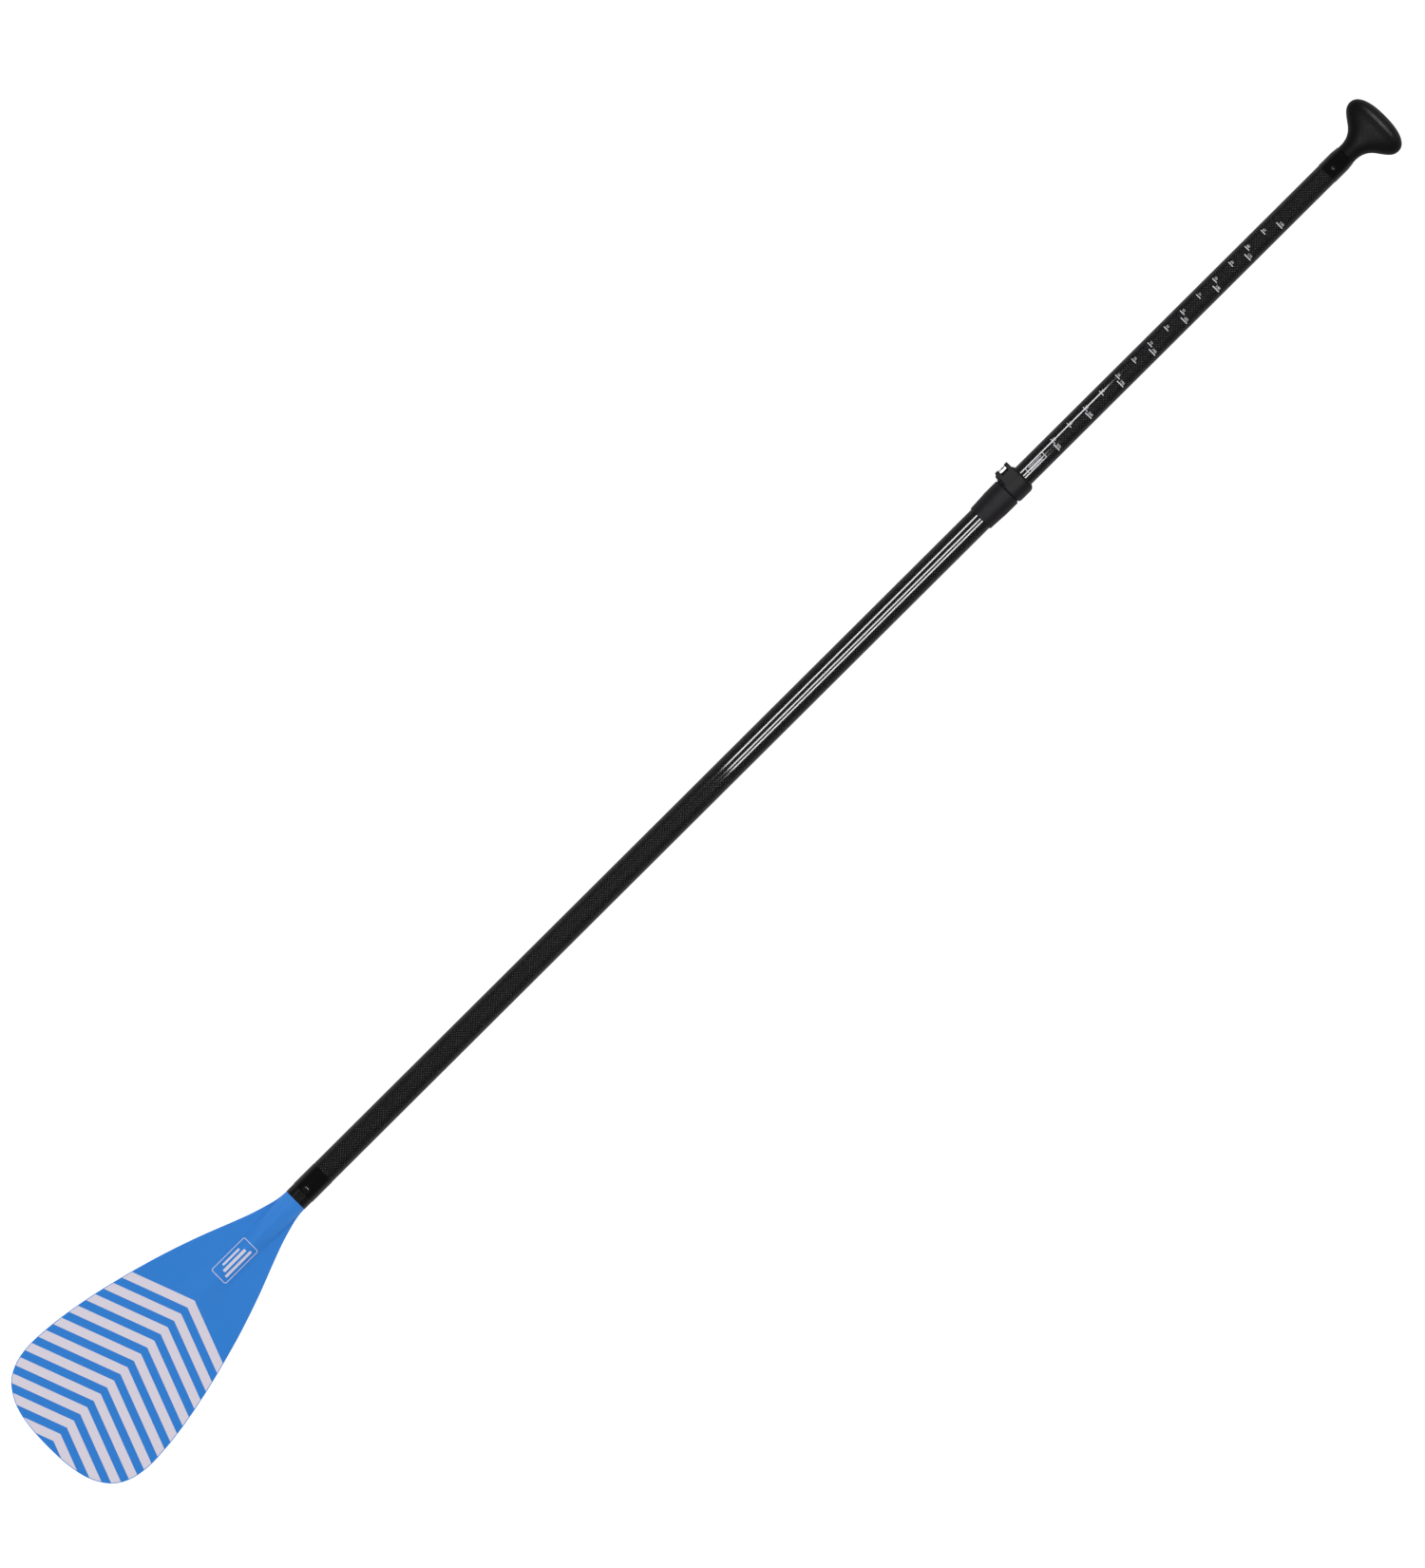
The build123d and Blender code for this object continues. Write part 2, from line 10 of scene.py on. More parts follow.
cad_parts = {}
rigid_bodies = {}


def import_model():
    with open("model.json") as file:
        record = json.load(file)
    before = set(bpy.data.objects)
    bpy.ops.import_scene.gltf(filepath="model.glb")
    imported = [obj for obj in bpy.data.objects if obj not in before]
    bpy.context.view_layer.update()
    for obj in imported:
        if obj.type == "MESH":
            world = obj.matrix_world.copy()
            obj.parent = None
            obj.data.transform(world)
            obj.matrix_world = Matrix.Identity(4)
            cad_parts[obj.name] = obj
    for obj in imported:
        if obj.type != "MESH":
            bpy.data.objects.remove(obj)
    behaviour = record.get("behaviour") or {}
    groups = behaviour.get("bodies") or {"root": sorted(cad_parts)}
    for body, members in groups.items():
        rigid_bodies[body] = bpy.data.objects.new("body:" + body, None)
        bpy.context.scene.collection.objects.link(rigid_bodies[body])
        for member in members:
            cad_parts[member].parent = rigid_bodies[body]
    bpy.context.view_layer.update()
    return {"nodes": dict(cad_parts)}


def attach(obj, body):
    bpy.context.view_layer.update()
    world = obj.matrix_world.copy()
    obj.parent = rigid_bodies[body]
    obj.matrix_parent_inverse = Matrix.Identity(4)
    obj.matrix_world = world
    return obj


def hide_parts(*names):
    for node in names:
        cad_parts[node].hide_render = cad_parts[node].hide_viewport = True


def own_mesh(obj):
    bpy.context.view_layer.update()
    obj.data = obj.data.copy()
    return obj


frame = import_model()
nodes = frame["nodes"]

MM = 0.001
AXIS_Z = 17.5                       # height of the shaft axis, mm
NECK_X = -662.0
PIN_Y, PIN_Z = 20.4, AXIS_Z + 9.6


# =====================================================================================
# materials
# =====================================================================================
class Nodes:
    """A small helper that writes a node tree top down."""

    def __init__(self, name):
        self.mat = bpy.data.materials.new(name)
        self.mat.use_nodes = True
        self.tree = self.mat.node_tree
        self.bsdf = next(n for n in self.tree.nodes if n.type == "BSDF_PRINCIPLED")
        self.out = next(n for n in self.tree.nodes if n.type == "OUTPUT_MATERIAL")

    def new(self, kind, **props):
        n = self.tree.nodes.new(kind)
        for k, v in props.items():
            setattr(n, k, v)
        return n

    def link(self, a, b):
        self.tree.links.new(a, b)

    def feed(self, socket, value):
        if isinstance(value, bpy.types.NodeSocket):
            self.link(value, socket)
        elif value is not None:
            socket.default_value = value

    def math(self, op, a, b=None, c=None, clamp=False):
        n = self.new("ShaderNodeMath", operation=op, use_clamp=clamp)
        self.feed(n.inputs[0], a)
        self.feed(n.inputs[1], b)
        self.feed(n.inputs[2], c)
        return n.outputs[0]

    def xyz(self):
        t = self.new("ShaderNodeTexCoord")
        s = self.new("ShaderNodeSeparateXYZ")
        self.link(t.outputs["Object"], s.inputs[0])
        return t.outputs["Object"], s.outputs[0], s.outputs[1], s.outputs[2]

    def combine(self, x, y, z):
        n = self.new("ShaderNodeCombineXYZ")
        self.feed(n.inputs[0], x)
        self.feed(n.inputs[1], y)
        self.feed(n.inputs[2], z)
        return n.outputs[0]

    def noise(self, vec, scale, detail=3.0, rough=0.5, dist=0.0):
        n = self.new("ShaderNodeTexNoise")
        self.feed(n.inputs["Vector"], vec)
        n.inputs["Scale"].default_value = scale
        n.inputs["Detail"].default_value = detail
        n.inputs["Roughness"].default_value = rough
        n.inputs["Distortion"].default_value = dist
        return n.outputs[0]

    def voronoi(self, vec, scale, feature="F1", out="Distance", rnd=1.0):
        n = self.new("ShaderNodeTexVoronoi", feature=feature)
        self.feed(n.inputs["Vector"], vec)
        n.inputs["Scale"].default_value = scale
        n.inputs["Randomness"].default_value = rnd
        return n.outputs[out]

    def ramp(self, fac, stops, interp="LINEAR"):
        n = self.new("ShaderNodeValToRGB")
        n.color_ramp.interpolation = interp
        el = n.color_ramp.elements
        while len(el) < len(stops):
            el.new(0.5)
        for e, (p, c) in zip(el, stops):
            e.position = p
            e.color = c if len(c) == 4 else (*c, 1.0)
        self.link(fac, n.inputs[0])
        return n.outputs[0]

    def mix(self, fac, a, b, kind="MIX"):
        n = self.new("ShaderNodeMix", data_type="RGBA", blend_type=kind)
        self.feed(n.inputs[0], fac)
        self.feed(n.inputs[6], a if not isinstance(a, tuple) else (*a[:3], 1.0))
        self.feed(n.inputs[7], b if not isinstance(b, tuple) else (*b[:3], 1.0))
        return n.outputs[2]

    def range(self, v, a, b, c, d):
        n = self.new("ShaderNodeMapRange")
        self.feed(n.inputs[0], v)
        for i, x in enumerate((a, b, c, d)):
            n.inputs[1 + i].default_value = x
        return n.outputs[0]

    def bump(self, height, strength, distance, normal=None):
        n = self.new("ShaderNodeBump")
        n.inputs["Strength"].default_value = strength
        n.inputs["Distance"].default_value = distance
        self.link(height, n.inputs["Height"])
        if normal is not None:
            self.link(normal, n.inputs["Normal"])
        return n.outputs[0]

    def done(self, color=None, rough=None, normal=None, metallic=None, **consts):
        b = self.bsdf
        self.feed(b.inputs["Base Color"], color if not isinstance(color, tuple) else (*color[:3], 1.0))
        self.feed(b.inputs["Roughness"], rough)
        if normal is not None:
            self.link(normal, b.inputs["Normal"])
        if metallic is not None:
            b.inputs["Metallic"].default_value = metallic
        for k, v in consts.items():
            b.inputs[k.replace("_", " ")].default_value = v
        return self.mat


def srgb(r, g, b):
    def f(c):
        c /= 255.0
        return c / 12.92 if c <= 0.04045 else ((c + 0.055) / 1.055) ** 2.4
    return (f(r), f(g), f(b))


def mat_moulded(name, color, rough=0.45, grain=0.5, spec=0.5, tint=0.12, grain_mm=0.5, coat=0.0, coat_rough=0.1):
    """Moulded plastic: slight cloudiness, fine spark-eroded grain, sharp edges a little paler as a painted highlight
    where they catch the light.
    """
    m = Nodes(name)
    v, x, y, z = m.xyz()
    cloud = m.noise(v, 18.0, 4.0, 0.6)
    fine = m.noise(v, 1.0 / (grain_mm * MM) * 0.5, 2.0, 0.6)
    dark = tuple(c * (1 - tint) for c in color)
    pale = tuple(min(1.0, c * (1 + tint)) for c in color)
    col = m.mix(cloud, dark, pale)
    geo = m.new("ShaderNodeNewGeometry")
    # painted highlight: sharp edges (high pointiness) are mixed towards a paler colour, as if catching the light
    edge = m.range(geo.outputs["Pointiness"], 0.52, 0.62, 0.0, 1.0)
    edge_highlight_col = tuple(min(1.0, c * 1.25 + 0.012) for c in color)
    col = m.mix(m.math("MULTIPLY", edge, 0.5), col, edge_highlight_col)
    r = m.math("ADD", m.math("MULTIPLY", m.math("SUBTRACT", fine, 0.5), 0.12), rough)
    r = m.math("ADD", r, m.math("MULTIPLY", m.math("SUBTRACT", cloud, 0.5), 0.10), clamp=True)
    nrm = m.bump(fine, grain, grain_mm * MM * 0.12)
    return m.done(col, r, nrm, Specular_IOR_Level=spec, Coat_Weight=coat, Coat_Roughness=coat_rough)


def mat_blade(name, color, neck_lit_col, rough=0.38, tint=0.05):
    """Satin moulded blade: faint flow clouding, colour slightly paler towards the neck as painted light, a painted
    highlight along the rim, fine vertical brush of the mould.
    """
    m = Nodes(name)
    v, x, y, z = m.xyz()
    cloud = m.noise(v, 9.0, 5.0, 0.55, 0.4)
    streak = m.noise(m.combine(m.math("MULTIPLY", x, 25.0), m.math("MULTIPLY", y, 420.0), 0.0), 1.0, 3.0, 0.6)
    grain = m.noise(v, 1400.0, 2.0, 0.7)
    # painted light: the colour is mixed towards a paler blue near the neck, where the blade catches more light
    near = m.range(x, -0.85, -0.67, 0.0, 1.0)
    base = m.mix(near, color, neck_lit_col)
    base = m.mix(m.math("MULTIPLY", cloud, 0.5), base, m.mix(0.5, base, tuple(c * (1 - 3 * tint) for c in color)))
    base = m.mix(m.range(streak, 0.35, 0.7, 0.0, 0.10), base, tuple(min(1, c * 1.18 + 0.01) for c in color))
    # painted highlight: the rim is mixed towards a paler blue, as if catching the light
    geo = m.new("ShaderNodeNewGeometry")
    edge = m.range(geo.outputs["Pointiness"], 0.53, 0.66, 0.0, 0.35)
    base = m.mix(edge, base, tuple(min(1, c * 1.5 + 0.05) for c in color))
    r = m.math("ADD", m.math("MULTIPLY", m.math("SUBTRACT", cloud, 0.5), 0.12), rough)
    r = m.math("ADD", r, m.math("MULTIPLY", m.math("SUBTRACT", streak, 0.5), 0.08), clamp=True)
    nrm = m.bump(grain, 0.25, 0.00003)
    nrm = m.bump(streak, 0.10, 0.00006, nrm)
    return m.done(base, r, nrm, Specular_IOR_Level=0.35)


def mat_carbon(name, around, pitch_mm):
    """Plain carbon weave under clear coat: `around` tows round the tube, pitch along it. Tows that run along the shaft
    stay dark with a faint painted highlight down their middle; those that run round it carry a painted highlight, short
    pale dashes, one in each second cell, streaked by their filaments."""
    m = Nodes(name)
    v, x, y, z = m.xyz()
    ang = m.math("ARCTAN2", m.math("SUBTRACT", z, AXIS_Z * MM), y)
    u = m.math("ADD", m.math("MULTIPLY", ang, around / (2 * math.pi)), around * 1.0)
    w = m.math("ADD", m.math("MULTIPLY", x, 1000.0 / pitch_mm), 1000.0)
    # the tows wander a little
    wob = m.noise(v, 24.0, 2.0, 0.5)
    wob2 = m.noise(v, 110.0, 1.0, 0.5)
    w = m.math("ADD", w, m.math("ADD", m.math("MULTIPLY", m.math("SUBTRACT", wob, 0.5), 0.5), m.math("MULTIPLY", m.math("SUBTRACT", wob2, 0.5), 0.22)))
    fu, fw = m.math("FRACT", u), m.math("FRACT", w)
    par = m.math("ROUND", m.math("MODULO", m.math("ADD", m.math("FLOOR", u), m.math("FLOOR", w)), 2.0))
    su = m.math("SINE", m.math("MULTIPLY", fu, math.pi))
    sw = m.math("SINE", m.math("MULTIPLY", fw, math.pi))
    # painted highlight: the pale dash on each round-running tow and the faint line along each lengthwise tow stand in
    # for light caught by the fibres
    dash_highlight = m.math("MULTIPLY", m.math("POWER", sw, 3.4), m.math("POWER", su, 0.55))
    rib_highlight = m.math("MULTIPLY", m.math("POWER", su, 3.4), m.math("POWER", sw, 0.55))
    fil_weft = m.noise(m.combine(m.math("MULTIPLY", w, 11.0), m.math("MULTIPLY", u, 1.1), 3.0), 1.0, 3.0, 0.7)
    fil_warp = m.noise(m.combine(m.math("MULTIPLY", w, 1.1), m.math("MULTIPLY", u, 11.0), 7.0), 1.0, 3.0, 0.7)
    cell = m.noise(m.combine(m.math("FLOOR", u), m.math("FLOOR", w), 0.0), 0.83, 0.0, 0.5)
    weft_v = m.math("MULTIPLY", dash_highlight, m.range(fil_weft, 0.3, 0.7, 0.72, 1.15))
    weft_v = m.math("MULTIPLY", weft_v, m.range(cell, 0.3, 0.7, 0.7, 1.1))
    # these ramps set the brightness of the painted highlights on the tows
    weft_col_painted_highlight = m.ramp(weft_v, [(0.0, srgb(11, 10, 12)), (0.3, srgb(20, 19, 21)), (0.62, srgb(62, 60, 62)), (1.0, srgb(96, 93, 95))])
    warp_col_painted_highlight = m.ramp(m.math("MULTIPLY", rib_highlight, m.range(fil_warp, 0.3, 0.7, 0.6, 1.2)),
                    [(0.0, srgb(10, 9, 11)), (0.5, srgb(15, 14, 16)), (1.0, srgb(23, 22, 24))])
    col = m.mix(par, warp_col_painted_highlight, weft_col_painted_highlight)
    h = m.math("ADD", m.math("MULTIPLY", m.math("MULTIPLY", m.math("POWER", sw, 0.5), m.math("POWER", su, 0.7)), par),
               m.math("MULTIPLY", m.math("MULTIPLY", m.math("POWER", su, 0.5), m.math("POWER", sw, 0.7)), m.math("SUBTRACT", 1.0, par)))
    nrm = m.bump(h, 0.3, 0.0001)
    return m.done(col, 0.45, nrm, Specular_IOR_Level=0.08, Coat_Weight=1.0, Coat_Roughness=0.03, Coat_IOR=1.5)


def mat_gloss(name, color, rough=0.16, ripple=0.2, ripple_mm=9.0, coat=0.6):
    """Gloss black sleeve: deep colour with slight orange peel."""
    m = Nodes(name)
    v, x, y, z = m.xyz()
    peel = m.noise(v, 1000.0 / ripple_mm, 2.0, 0.5)
    dust = m.noise(v, 900.0, 2.0, 0.6)
    col = m.mix(peel, tuple(c * 0.8 for c in color), tuple(c * 1.25 for c in color))
    r = m.math("ADD", m.math("MULTIPLY", m.math("SUBTRACT", dust, 0.45), 0.10), rough, clamp=True)
    nrm = m.bump(peel, ripple, 0.0002)
    nrm = m.bump(dust, 0.05, 0.00002, nrm)
    return m.done(col, r, nrm, Specular_IOR_Level=0.5, Coat_Weight=coat, Coat_Roughness=0.06)


def mat_grip(name, color):
    """Leather-grained moulding of the palm grip: small irregular pebbles with fine creases between them, the creases
    darkened by painted shade.
    """
    m = Nodes(name)
    v, x, y, z = m.xyz()
    warp = m.noise(v, 160.0, 2.0, 0.5)
    vv = m.new("ShaderNodeVectorMath", operation="ADD")
    m.link(v, vv.inputs[0])
    cc = m.combine(m.math("MULTIPLY", warp, 0.0012), m.math("MULTIPLY", warp, -0.0009), m.math("MULTIPLY", warp, 0.001))
    m.link(cc, vv.inputs[1])
    peb = m.voronoi(vv.outputs[0], 1150.0, "DISTANCE_TO_EDGE")
    peb2 = m.voronoi(vv.outputs[0], 520.0, "DISTANCE_TO_EDGE")
    creases_with_painted_shade = m.math("MINIMUM", m.range(peb, 0.0, 0.2, 0.0, 1.0), m.range(peb2, 0.0, 0.1, 0.35, 1.0))
    fine = m.noise(v, 3600.0, 2.0, 0.6)
    cloud = m.noise(v, 35.0, 3.0, 0.5)
    # painted shade: the creases are coloured darker than the pebbles
    col = m.mix(creases_with_painted_shade, tuple(c * 0.72 for c in color), m.mix(cloud, tuple(c * 0.9 for c in color), tuple(c * 1.15 for c in color)))
    r = m.math("ADD", m.range(creases_with_painted_shade, 0.0, 1.0, 0.52, 0.3), m.math("MULTIPLY", m.math("SUBTRACT", cloud, 0.5), 0.10), clamp=True)
    nrm = m.bump(m.math("ADD", creases_with_painted_shade, m.math("MULTIPLY", fine, 0.2)), 0.28, 0.00008)
    return m.done(col, r, nrm, Specular_IOR_Level=0.45)


def mat_metal(name, color=(0.62, 0.62, 0.63), rough=0.28, along=(1, 60, 60)):
    """Turned stainless steel: fine lathe lines and slight staining."""
    m = Nodes(name)
    v, x, y, z = m.xyz()
    lines = m.noise(m.combine(m.math("MULTIPLY", x, 9000.0 / along[1]), m.math("MULTIPLY", y, 400.0), m.math("MULTIPLY", z, 400.0)), 1.0, 3.0, 0.6)
    stain = m.noise(v, 260.0, 3.0, 0.6)
    col = m.mix(m.math("MULTIPLY", stain, 0.6), color, tuple(c * 0.72 for c in color))
    r = m.math("ADD", m.math("MULTIPLY", lines, 0.18), rough - 0.08, clamp=True)
    nrm = m.bump(lines, 0.2, 0.00003)
    return m.done(col, r, nrm, metallic=1.0)


def mat_print(name, color):
    """Screen-printed ink on the clear coat: slightly uneven cover."""
    m = Nodes(name)
    v, x, y, z = m.xyz()
    cover = m.noise(v, 2200.0, 3.0, 0.7)
    col = m.mix(m.range(cover, 0.35, 0.65, 0.0, 1.0), tuple(c * 0.82 for c in color), color)
    r = m.math("ADD", m.math("MULTIPLY", cover, 0.15), 0.38, clamp=True)
    nrm = m.bump(cover, 0.15, 0.00002)
    return m.done(col, r, nrm, Specular_IOR_Level=0.4)


def mat_foam(name, color):
    m = Nodes(name)
    v, x, y, z = m.xyz()
    cells = m.voronoi(v, 700.0, "F1")
    col = m.mix(m.range(cells, 0.1, 0.6, 0.0, 1.0), tuple(c * 0.75 for c in color), color)
    r = m.range(cells, 0.0, 0.7, 0.95, 0.8)
    nrm = m.bump(cells, 0.6, 0.0004)
    return m.done(col, r, nrm)


BLUE = (0.020, 0.208, 0.665)
# the paler neck blue is painted light on the same plastic, not a different colour of it
BLUE_NECK_LIT = (0.028, 0.225, 0.690)
PALE = (0.690, 0.650, 0.735)
M_BLUE = mat_blade("blade_blue", BLUE, BLUE_NECK_LIT, rough=0.45)
M_PALE = mat_blade("blade_print", PALE, PALE, rough=0.48, tint=0.02)
M_CARBON_L = mat_carbon("carbon_weave_29", 50, 1.98)
M_CARBON_U = mat_carbon("carbon_weave_26", 44, 1.98)
M_SLEEVE = mat_gloss("sleeve_gloss", srgb(13, 13, 14), rough=0.14)
M_RING = mat_gloss("ring_gloss", srgb(19, 19, 20), rough=0.2, coat=0.4)
M_BUTTON = mat_gloss("button_gloss", srgb(16, 16, 17), rough=0.07, ripple=0.06, ripple_mm=3.0, coat=1.0)
M_CLAMP = mat_moulded("clamp_nylon", srgb(27, 25, 29), rough=0.44, grain=0.5, tint=0.10)
M_LEVER = mat_moulded("lever_nylon", srgb(25, 24, 27), rough=0.40, grain=0.45, tint=0.10)
M_LINER = mat_moulded("liner_acetal", srgb(26, 25, 27), rough=0.32, grain=0.2)
M_FERRULE = mat_moulded("ferrule_nylon", srgb(30, 30, 32), rough=0.42, grain=0.4)
M_STEEL = mat_metal("steel_turned")
M_SPRING = mat_metal("spring_steel", (0.55, 0.55, 0.58), 0.25)
M_FOAM = mat_foam("closed_cell_foam", srgb(176, 176, 170))
M_GRIP = mat_grip("grip_grain", srgb(15, 14, 15))
M_INK = mat_print("scale_ink", srgb(222, 219, 226))


# =====================================================================================
# mesh helpers
# =====================================================================================
def add_object(name, verts, faces, mats, body, replaces=(), sharp=None, face_mat=None):
    """verts in millimetres."""
    me = bpy.data.meshes.new(name)
    me.from_pydata([(a * MM, b * MM, c * MM) for a, b, c in verts], [], faces)
    me.validate()
    me.polygons.foreach_set("use_smooth", [True] * len(me.polygons))
    ob = bpy.data.objects.new(name, me)
    bpy.context.scene.collection.objects.link(ob)
    for m in mats:
        me.materials.append(m)
    if face_mat is not None:
        me.polygons.foreach_set("material_index", face_mat)
    if sharp is not None:
        mark_sharp(me, sharp)
    me.update()
    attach(ob, body)
    if replaces:
        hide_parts(*replaces)
    return ob


def mark_sharp(me, degrees):
    bm = bmesh.new()
    bm.from_mesh(me)
    lim = math.radians(degrees)
    for e in bm.edges:
        if len(e.link_faces) == 2 and e.calc_face_angle(0.0) > lim:
            e.smooth = False
    bm.to_mesh(me)
    bm.free()


def rounded(profile, radius, steps=4, closed=True):
    """Rounds the corners of a polyline profile [(x, r[, corner radius])]."""
    out = []
    n = len(profile)
    for i in range(n):
        p = Vector(profile[i][:2])
        rad = profile[i][2] if len(profile[i]) > 2 else radius
        if not closed and i in (0, n - 1) or rad <= 0:
            out.append(tuple(p))
            continue
        a = Vector(profile[(i - 1) % n][:2]) - p
        b = Vector(profile[(i + 1) % n][:2]) - p
        la, lb = a.length, b.length
        if la < 1e-6 or lb < 1e-6:
            out.append(tuple(p))
            continue
        a.normalize(), b.normalize()
        dot = max(-1, min(1, a.dot(b)))
        half = math.acos(dot) / 2
        if half > math.radians(87):
            out.append(tuple(p))
            continue
        t = min(rad / math.tan(half), la * 0.45, lb * 0.45)
        r = t * math.tan(half)
        c = p + (a + b).normalized() * (r / math.sin(half))
        s0 = p + a * t - c
        s1 = p + b * t - c
        ang0 = math.atan2(s0.y, s0.x)
        ang1 = math.atan2(s1.y, s1.x)
        while ang1 - ang0 > math.pi:
            ang1 -= 2 * math.pi
        while ang1 - ang0 < -math.pi:
            ang1 += 2 * math.pi
        for k in range(steps + 1):
            q = ang0 + (ang1 - ang0) * k / steps
            out.append((c.x + r * math.cos(q), c.y + r * math.sin(q)))
    return out


def lathe_mesh(profile, segs=96, closed=True):
    """Solid of revolution about the shaft axis; profile in (x, radius). Radius 0 ends close on the axis."""
    verts, faces = [], []
    ring_of = []
    for x, r in profile:
        if r < 1e-6:
            ring_of.append([len(verts)])
            verts.append((x, 0.0, AXIS_Z))
        else:
            ring_of.append(list(range(len(verts), len(verts) + segs)))
            for k in range(segs):
                a = 2 * math.pi * k / segs
                verts.append((x, r * math.cos(a), AXIS_Z + r * math.sin(a)))
    n = len(profile)
    for i in range(n if closed else n - 1):
        A, B = ring_of[i], ring_of[(i + 1) % n]
        if len(A) == 1 and len(B) == 1:
            continue
        for k in range(segs):
            k2 = (k + 1) % segs
            if len(A) == 1:
                faces.append((A[0], B[k], B[k2]))
            elif len(B) == 1:
                faces.append((A[k], B[0], A[k2]))
            else:
                faces.append((A[k], B[k], B[k2], A[k2]))
    return verts, faces


def recalc(ob):
    bm = bmesh.new()
    bm.from_mesh(ob.data)
    bmesh.ops.recalc_face_normals(bm, faces=bm.faces[:])
    bm.to_mesh(ob.data)
    bm.free()


def lathe(name, profile, body, mats, replaces=(), segs=96, closed=True, sharp=32):
    v, f = lathe_mesh(profile, segs, closed)
    ob = add_object(name, v, f, mats, body, replaces)
    recalc(ob)
    mark_sharp(ob.data, sharp)
    return ob


def apply_modifiers(ob):
    dg = bpy.context.evaluated_depsgraph_get()
    me = bpy.data.meshes.new_from_object(ob.evaluated_get(dg))
    old = ob.data
    ob.modifiers.clear()
    ob.data = me
    bpy.data.meshes.remove(old)
    return ob


def cut(ob, verts, faces):
    """Boolean difference with a closed cutter, applied."""
    me = bpy.data.meshes.new("cutter")
    me.from_pydata([(a * MM, b * MM, c * MM) for a, b, c in verts], [], faces)
    c = bpy.data.objects.new("cutter", me)
    bpy.context.scene.collection.objects.link(c)
    bm = bmesh.new()
    bm.from_mesh(me)
    bmesh.ops.recalc_face_normals(bm, faces=bm.faces[:])
    bm.to_mesh(me)
    bm.free()
    bpy.context.view_layer.update()
    mod = ob.modifiers.new("cut", "BOOLEAN")
    mod.operation = "DIFFERENCE"
    mod.object = c
    mod.solver = "EXACT"
    apply_modifiers(ob)
    bpy.data.objects.remove(c)
    bpy.data.meshes.remove(me)


def disc_cutter(cx, cy, r, z0, z1, segs=64):
    v = [(cx + r * math.cos(2 * math.pi * k / segs), cy + r * math.sin(2 * math.pi * k / segs), z) for z in (z0, z1) for k in range(segs)]
    f = [tuple(range(segs))[::-1], tuple(range(segs, 2 * segs))]
    f += [(k, (k + 1) % segs, segs + (k + 1) % segs, segs + k) for k in range(segs)]
    return v, f


# =====================================================================================
# blade
# =====================================================================================
EDGE = 1.4
CANT = math.tan(math.radians(9.0))
half_width = [(0, 14.1), (6.8, 14.5), (15.3, 15.8), (23.7, 17.9), (32.2, 20.3), (40.7, 22.9), (49.2, 25.8),
              (66.1, 32.2), (83.1, 38.9), (100.1, 45.5), (117.0, 51.6), (134.0, 57.4), (150.9, 62.8),
              (167.9, 67.8), (184.9, 72.5), (201.8, 76.9), (218.8, 81.0), (235.8, 84.7), (252.7, 88.0),
              (269.7, 90.8), (286.6, 93.0), (303.6, 94.5), (318.0, 95.1), (330.0, 94.4), (340.3, 92.8),
              (346.7, 91.0), (353.2, 88.4), (359.7, 84.8), (366.1, 79.8), (370.4, 74.9), (374.7, 68.7),
              (379.0, 60.6), (383.2, 48.6), (385.9, 34.5), (387.4, 20.0), (388.0, 0.0)]
front_core = [(-5, 14.1), (0, 14.1), (20, 13.9), (40, 13.0), (60, 11.4), (80, 9.4), (110, 6.4), (140, 4.0),
              (175, 2.2), (215, 1.0), (260, 0.3), (395, 0.0)]
front_width = [(-5, 14.1), (0, 14.1), (40, 14.3), (80, 15.5), (120, 18.5), (160, 23.0), (220, 30.0), (395, 40.0)]
# a little lower than in the CAD near the neck: the softer blend_k below adds that height back
back_core = [(-5, 14.1), (0, 14.1), (22, 16.0), (45, 17.1), (70, 17.9), (100, 17.0), (140, 13.6), (180, 9.8),
             (220, 6.6), (260, 4.2), (300, 2.4), (340, 1.0), (395, 0.0)]
back_width = [(-5, 14.1), (0, 14.1), (50, 14.6), (100, 15.6), (200, 18.0), (300, 22.0), (395, 26.0)]
blend_k = [(-5, 0.6), (0, 0.8), (15, 4.0), (40, 8.0), (90, 8.5), (160, 6.0), (240, 3.0), (320, 1.5), (395, 1.0)]


class Table:
    """Monotone cubic reading of a table."""

    def __init__(self, table):
        self.x = np.array([t[0] for t in table], float)
        self.y = np.array([t[1] for t in table], float)
        h = np.diff(self.x)
        s = np.diff(self.y) / h
        m = np.zeros(len(self.x))
        m[0], m[-1] = s[0], s[-1]
        for i in range(1, len(self.x) - 1):
            if s[i - 1] * s[i] > 0:
                m[i] = 3 * (h[i - 1] + h[i]) / ((2 * h[i] + h[i - 1]) / s[i - 1] + (h[i] + 2 * h[i - 1]) / s[i])
        self.m, self.h = m, h

    def __call__(self, d):
        d = np.clip(d, self.x[0], self.x[-1])
        k = np.clip(np.searchsorted(self.x, d, side="right") - 1, 0, len(self.h) - 1)
        t = (d - self.x[k]) / self.h[k]
        return ((2 * t**3 - 3 * t**2 + 1) * self.y[k] + (t**3 - 2 * t**2 + t) * self.h[k] * self.m[k]
                + (-2 * t**3 + 3 * t**2) * self.y[k + 1] + (t**3 - t**2) * self.h[k] * self.m[k + 1])


T_W, T_FC, T_FW = Table(half_width), Table(front_core), Table(front_width)
T_BC, T_BW, T_K = Table(back_core), Table(back_width), Table(blend_k)


def cant(d):
    return np.where(d < 20, 0.0, np.where(d < 80, CANT * (d - 20) ** 2 / 120.0, CANT * (d - 50)))


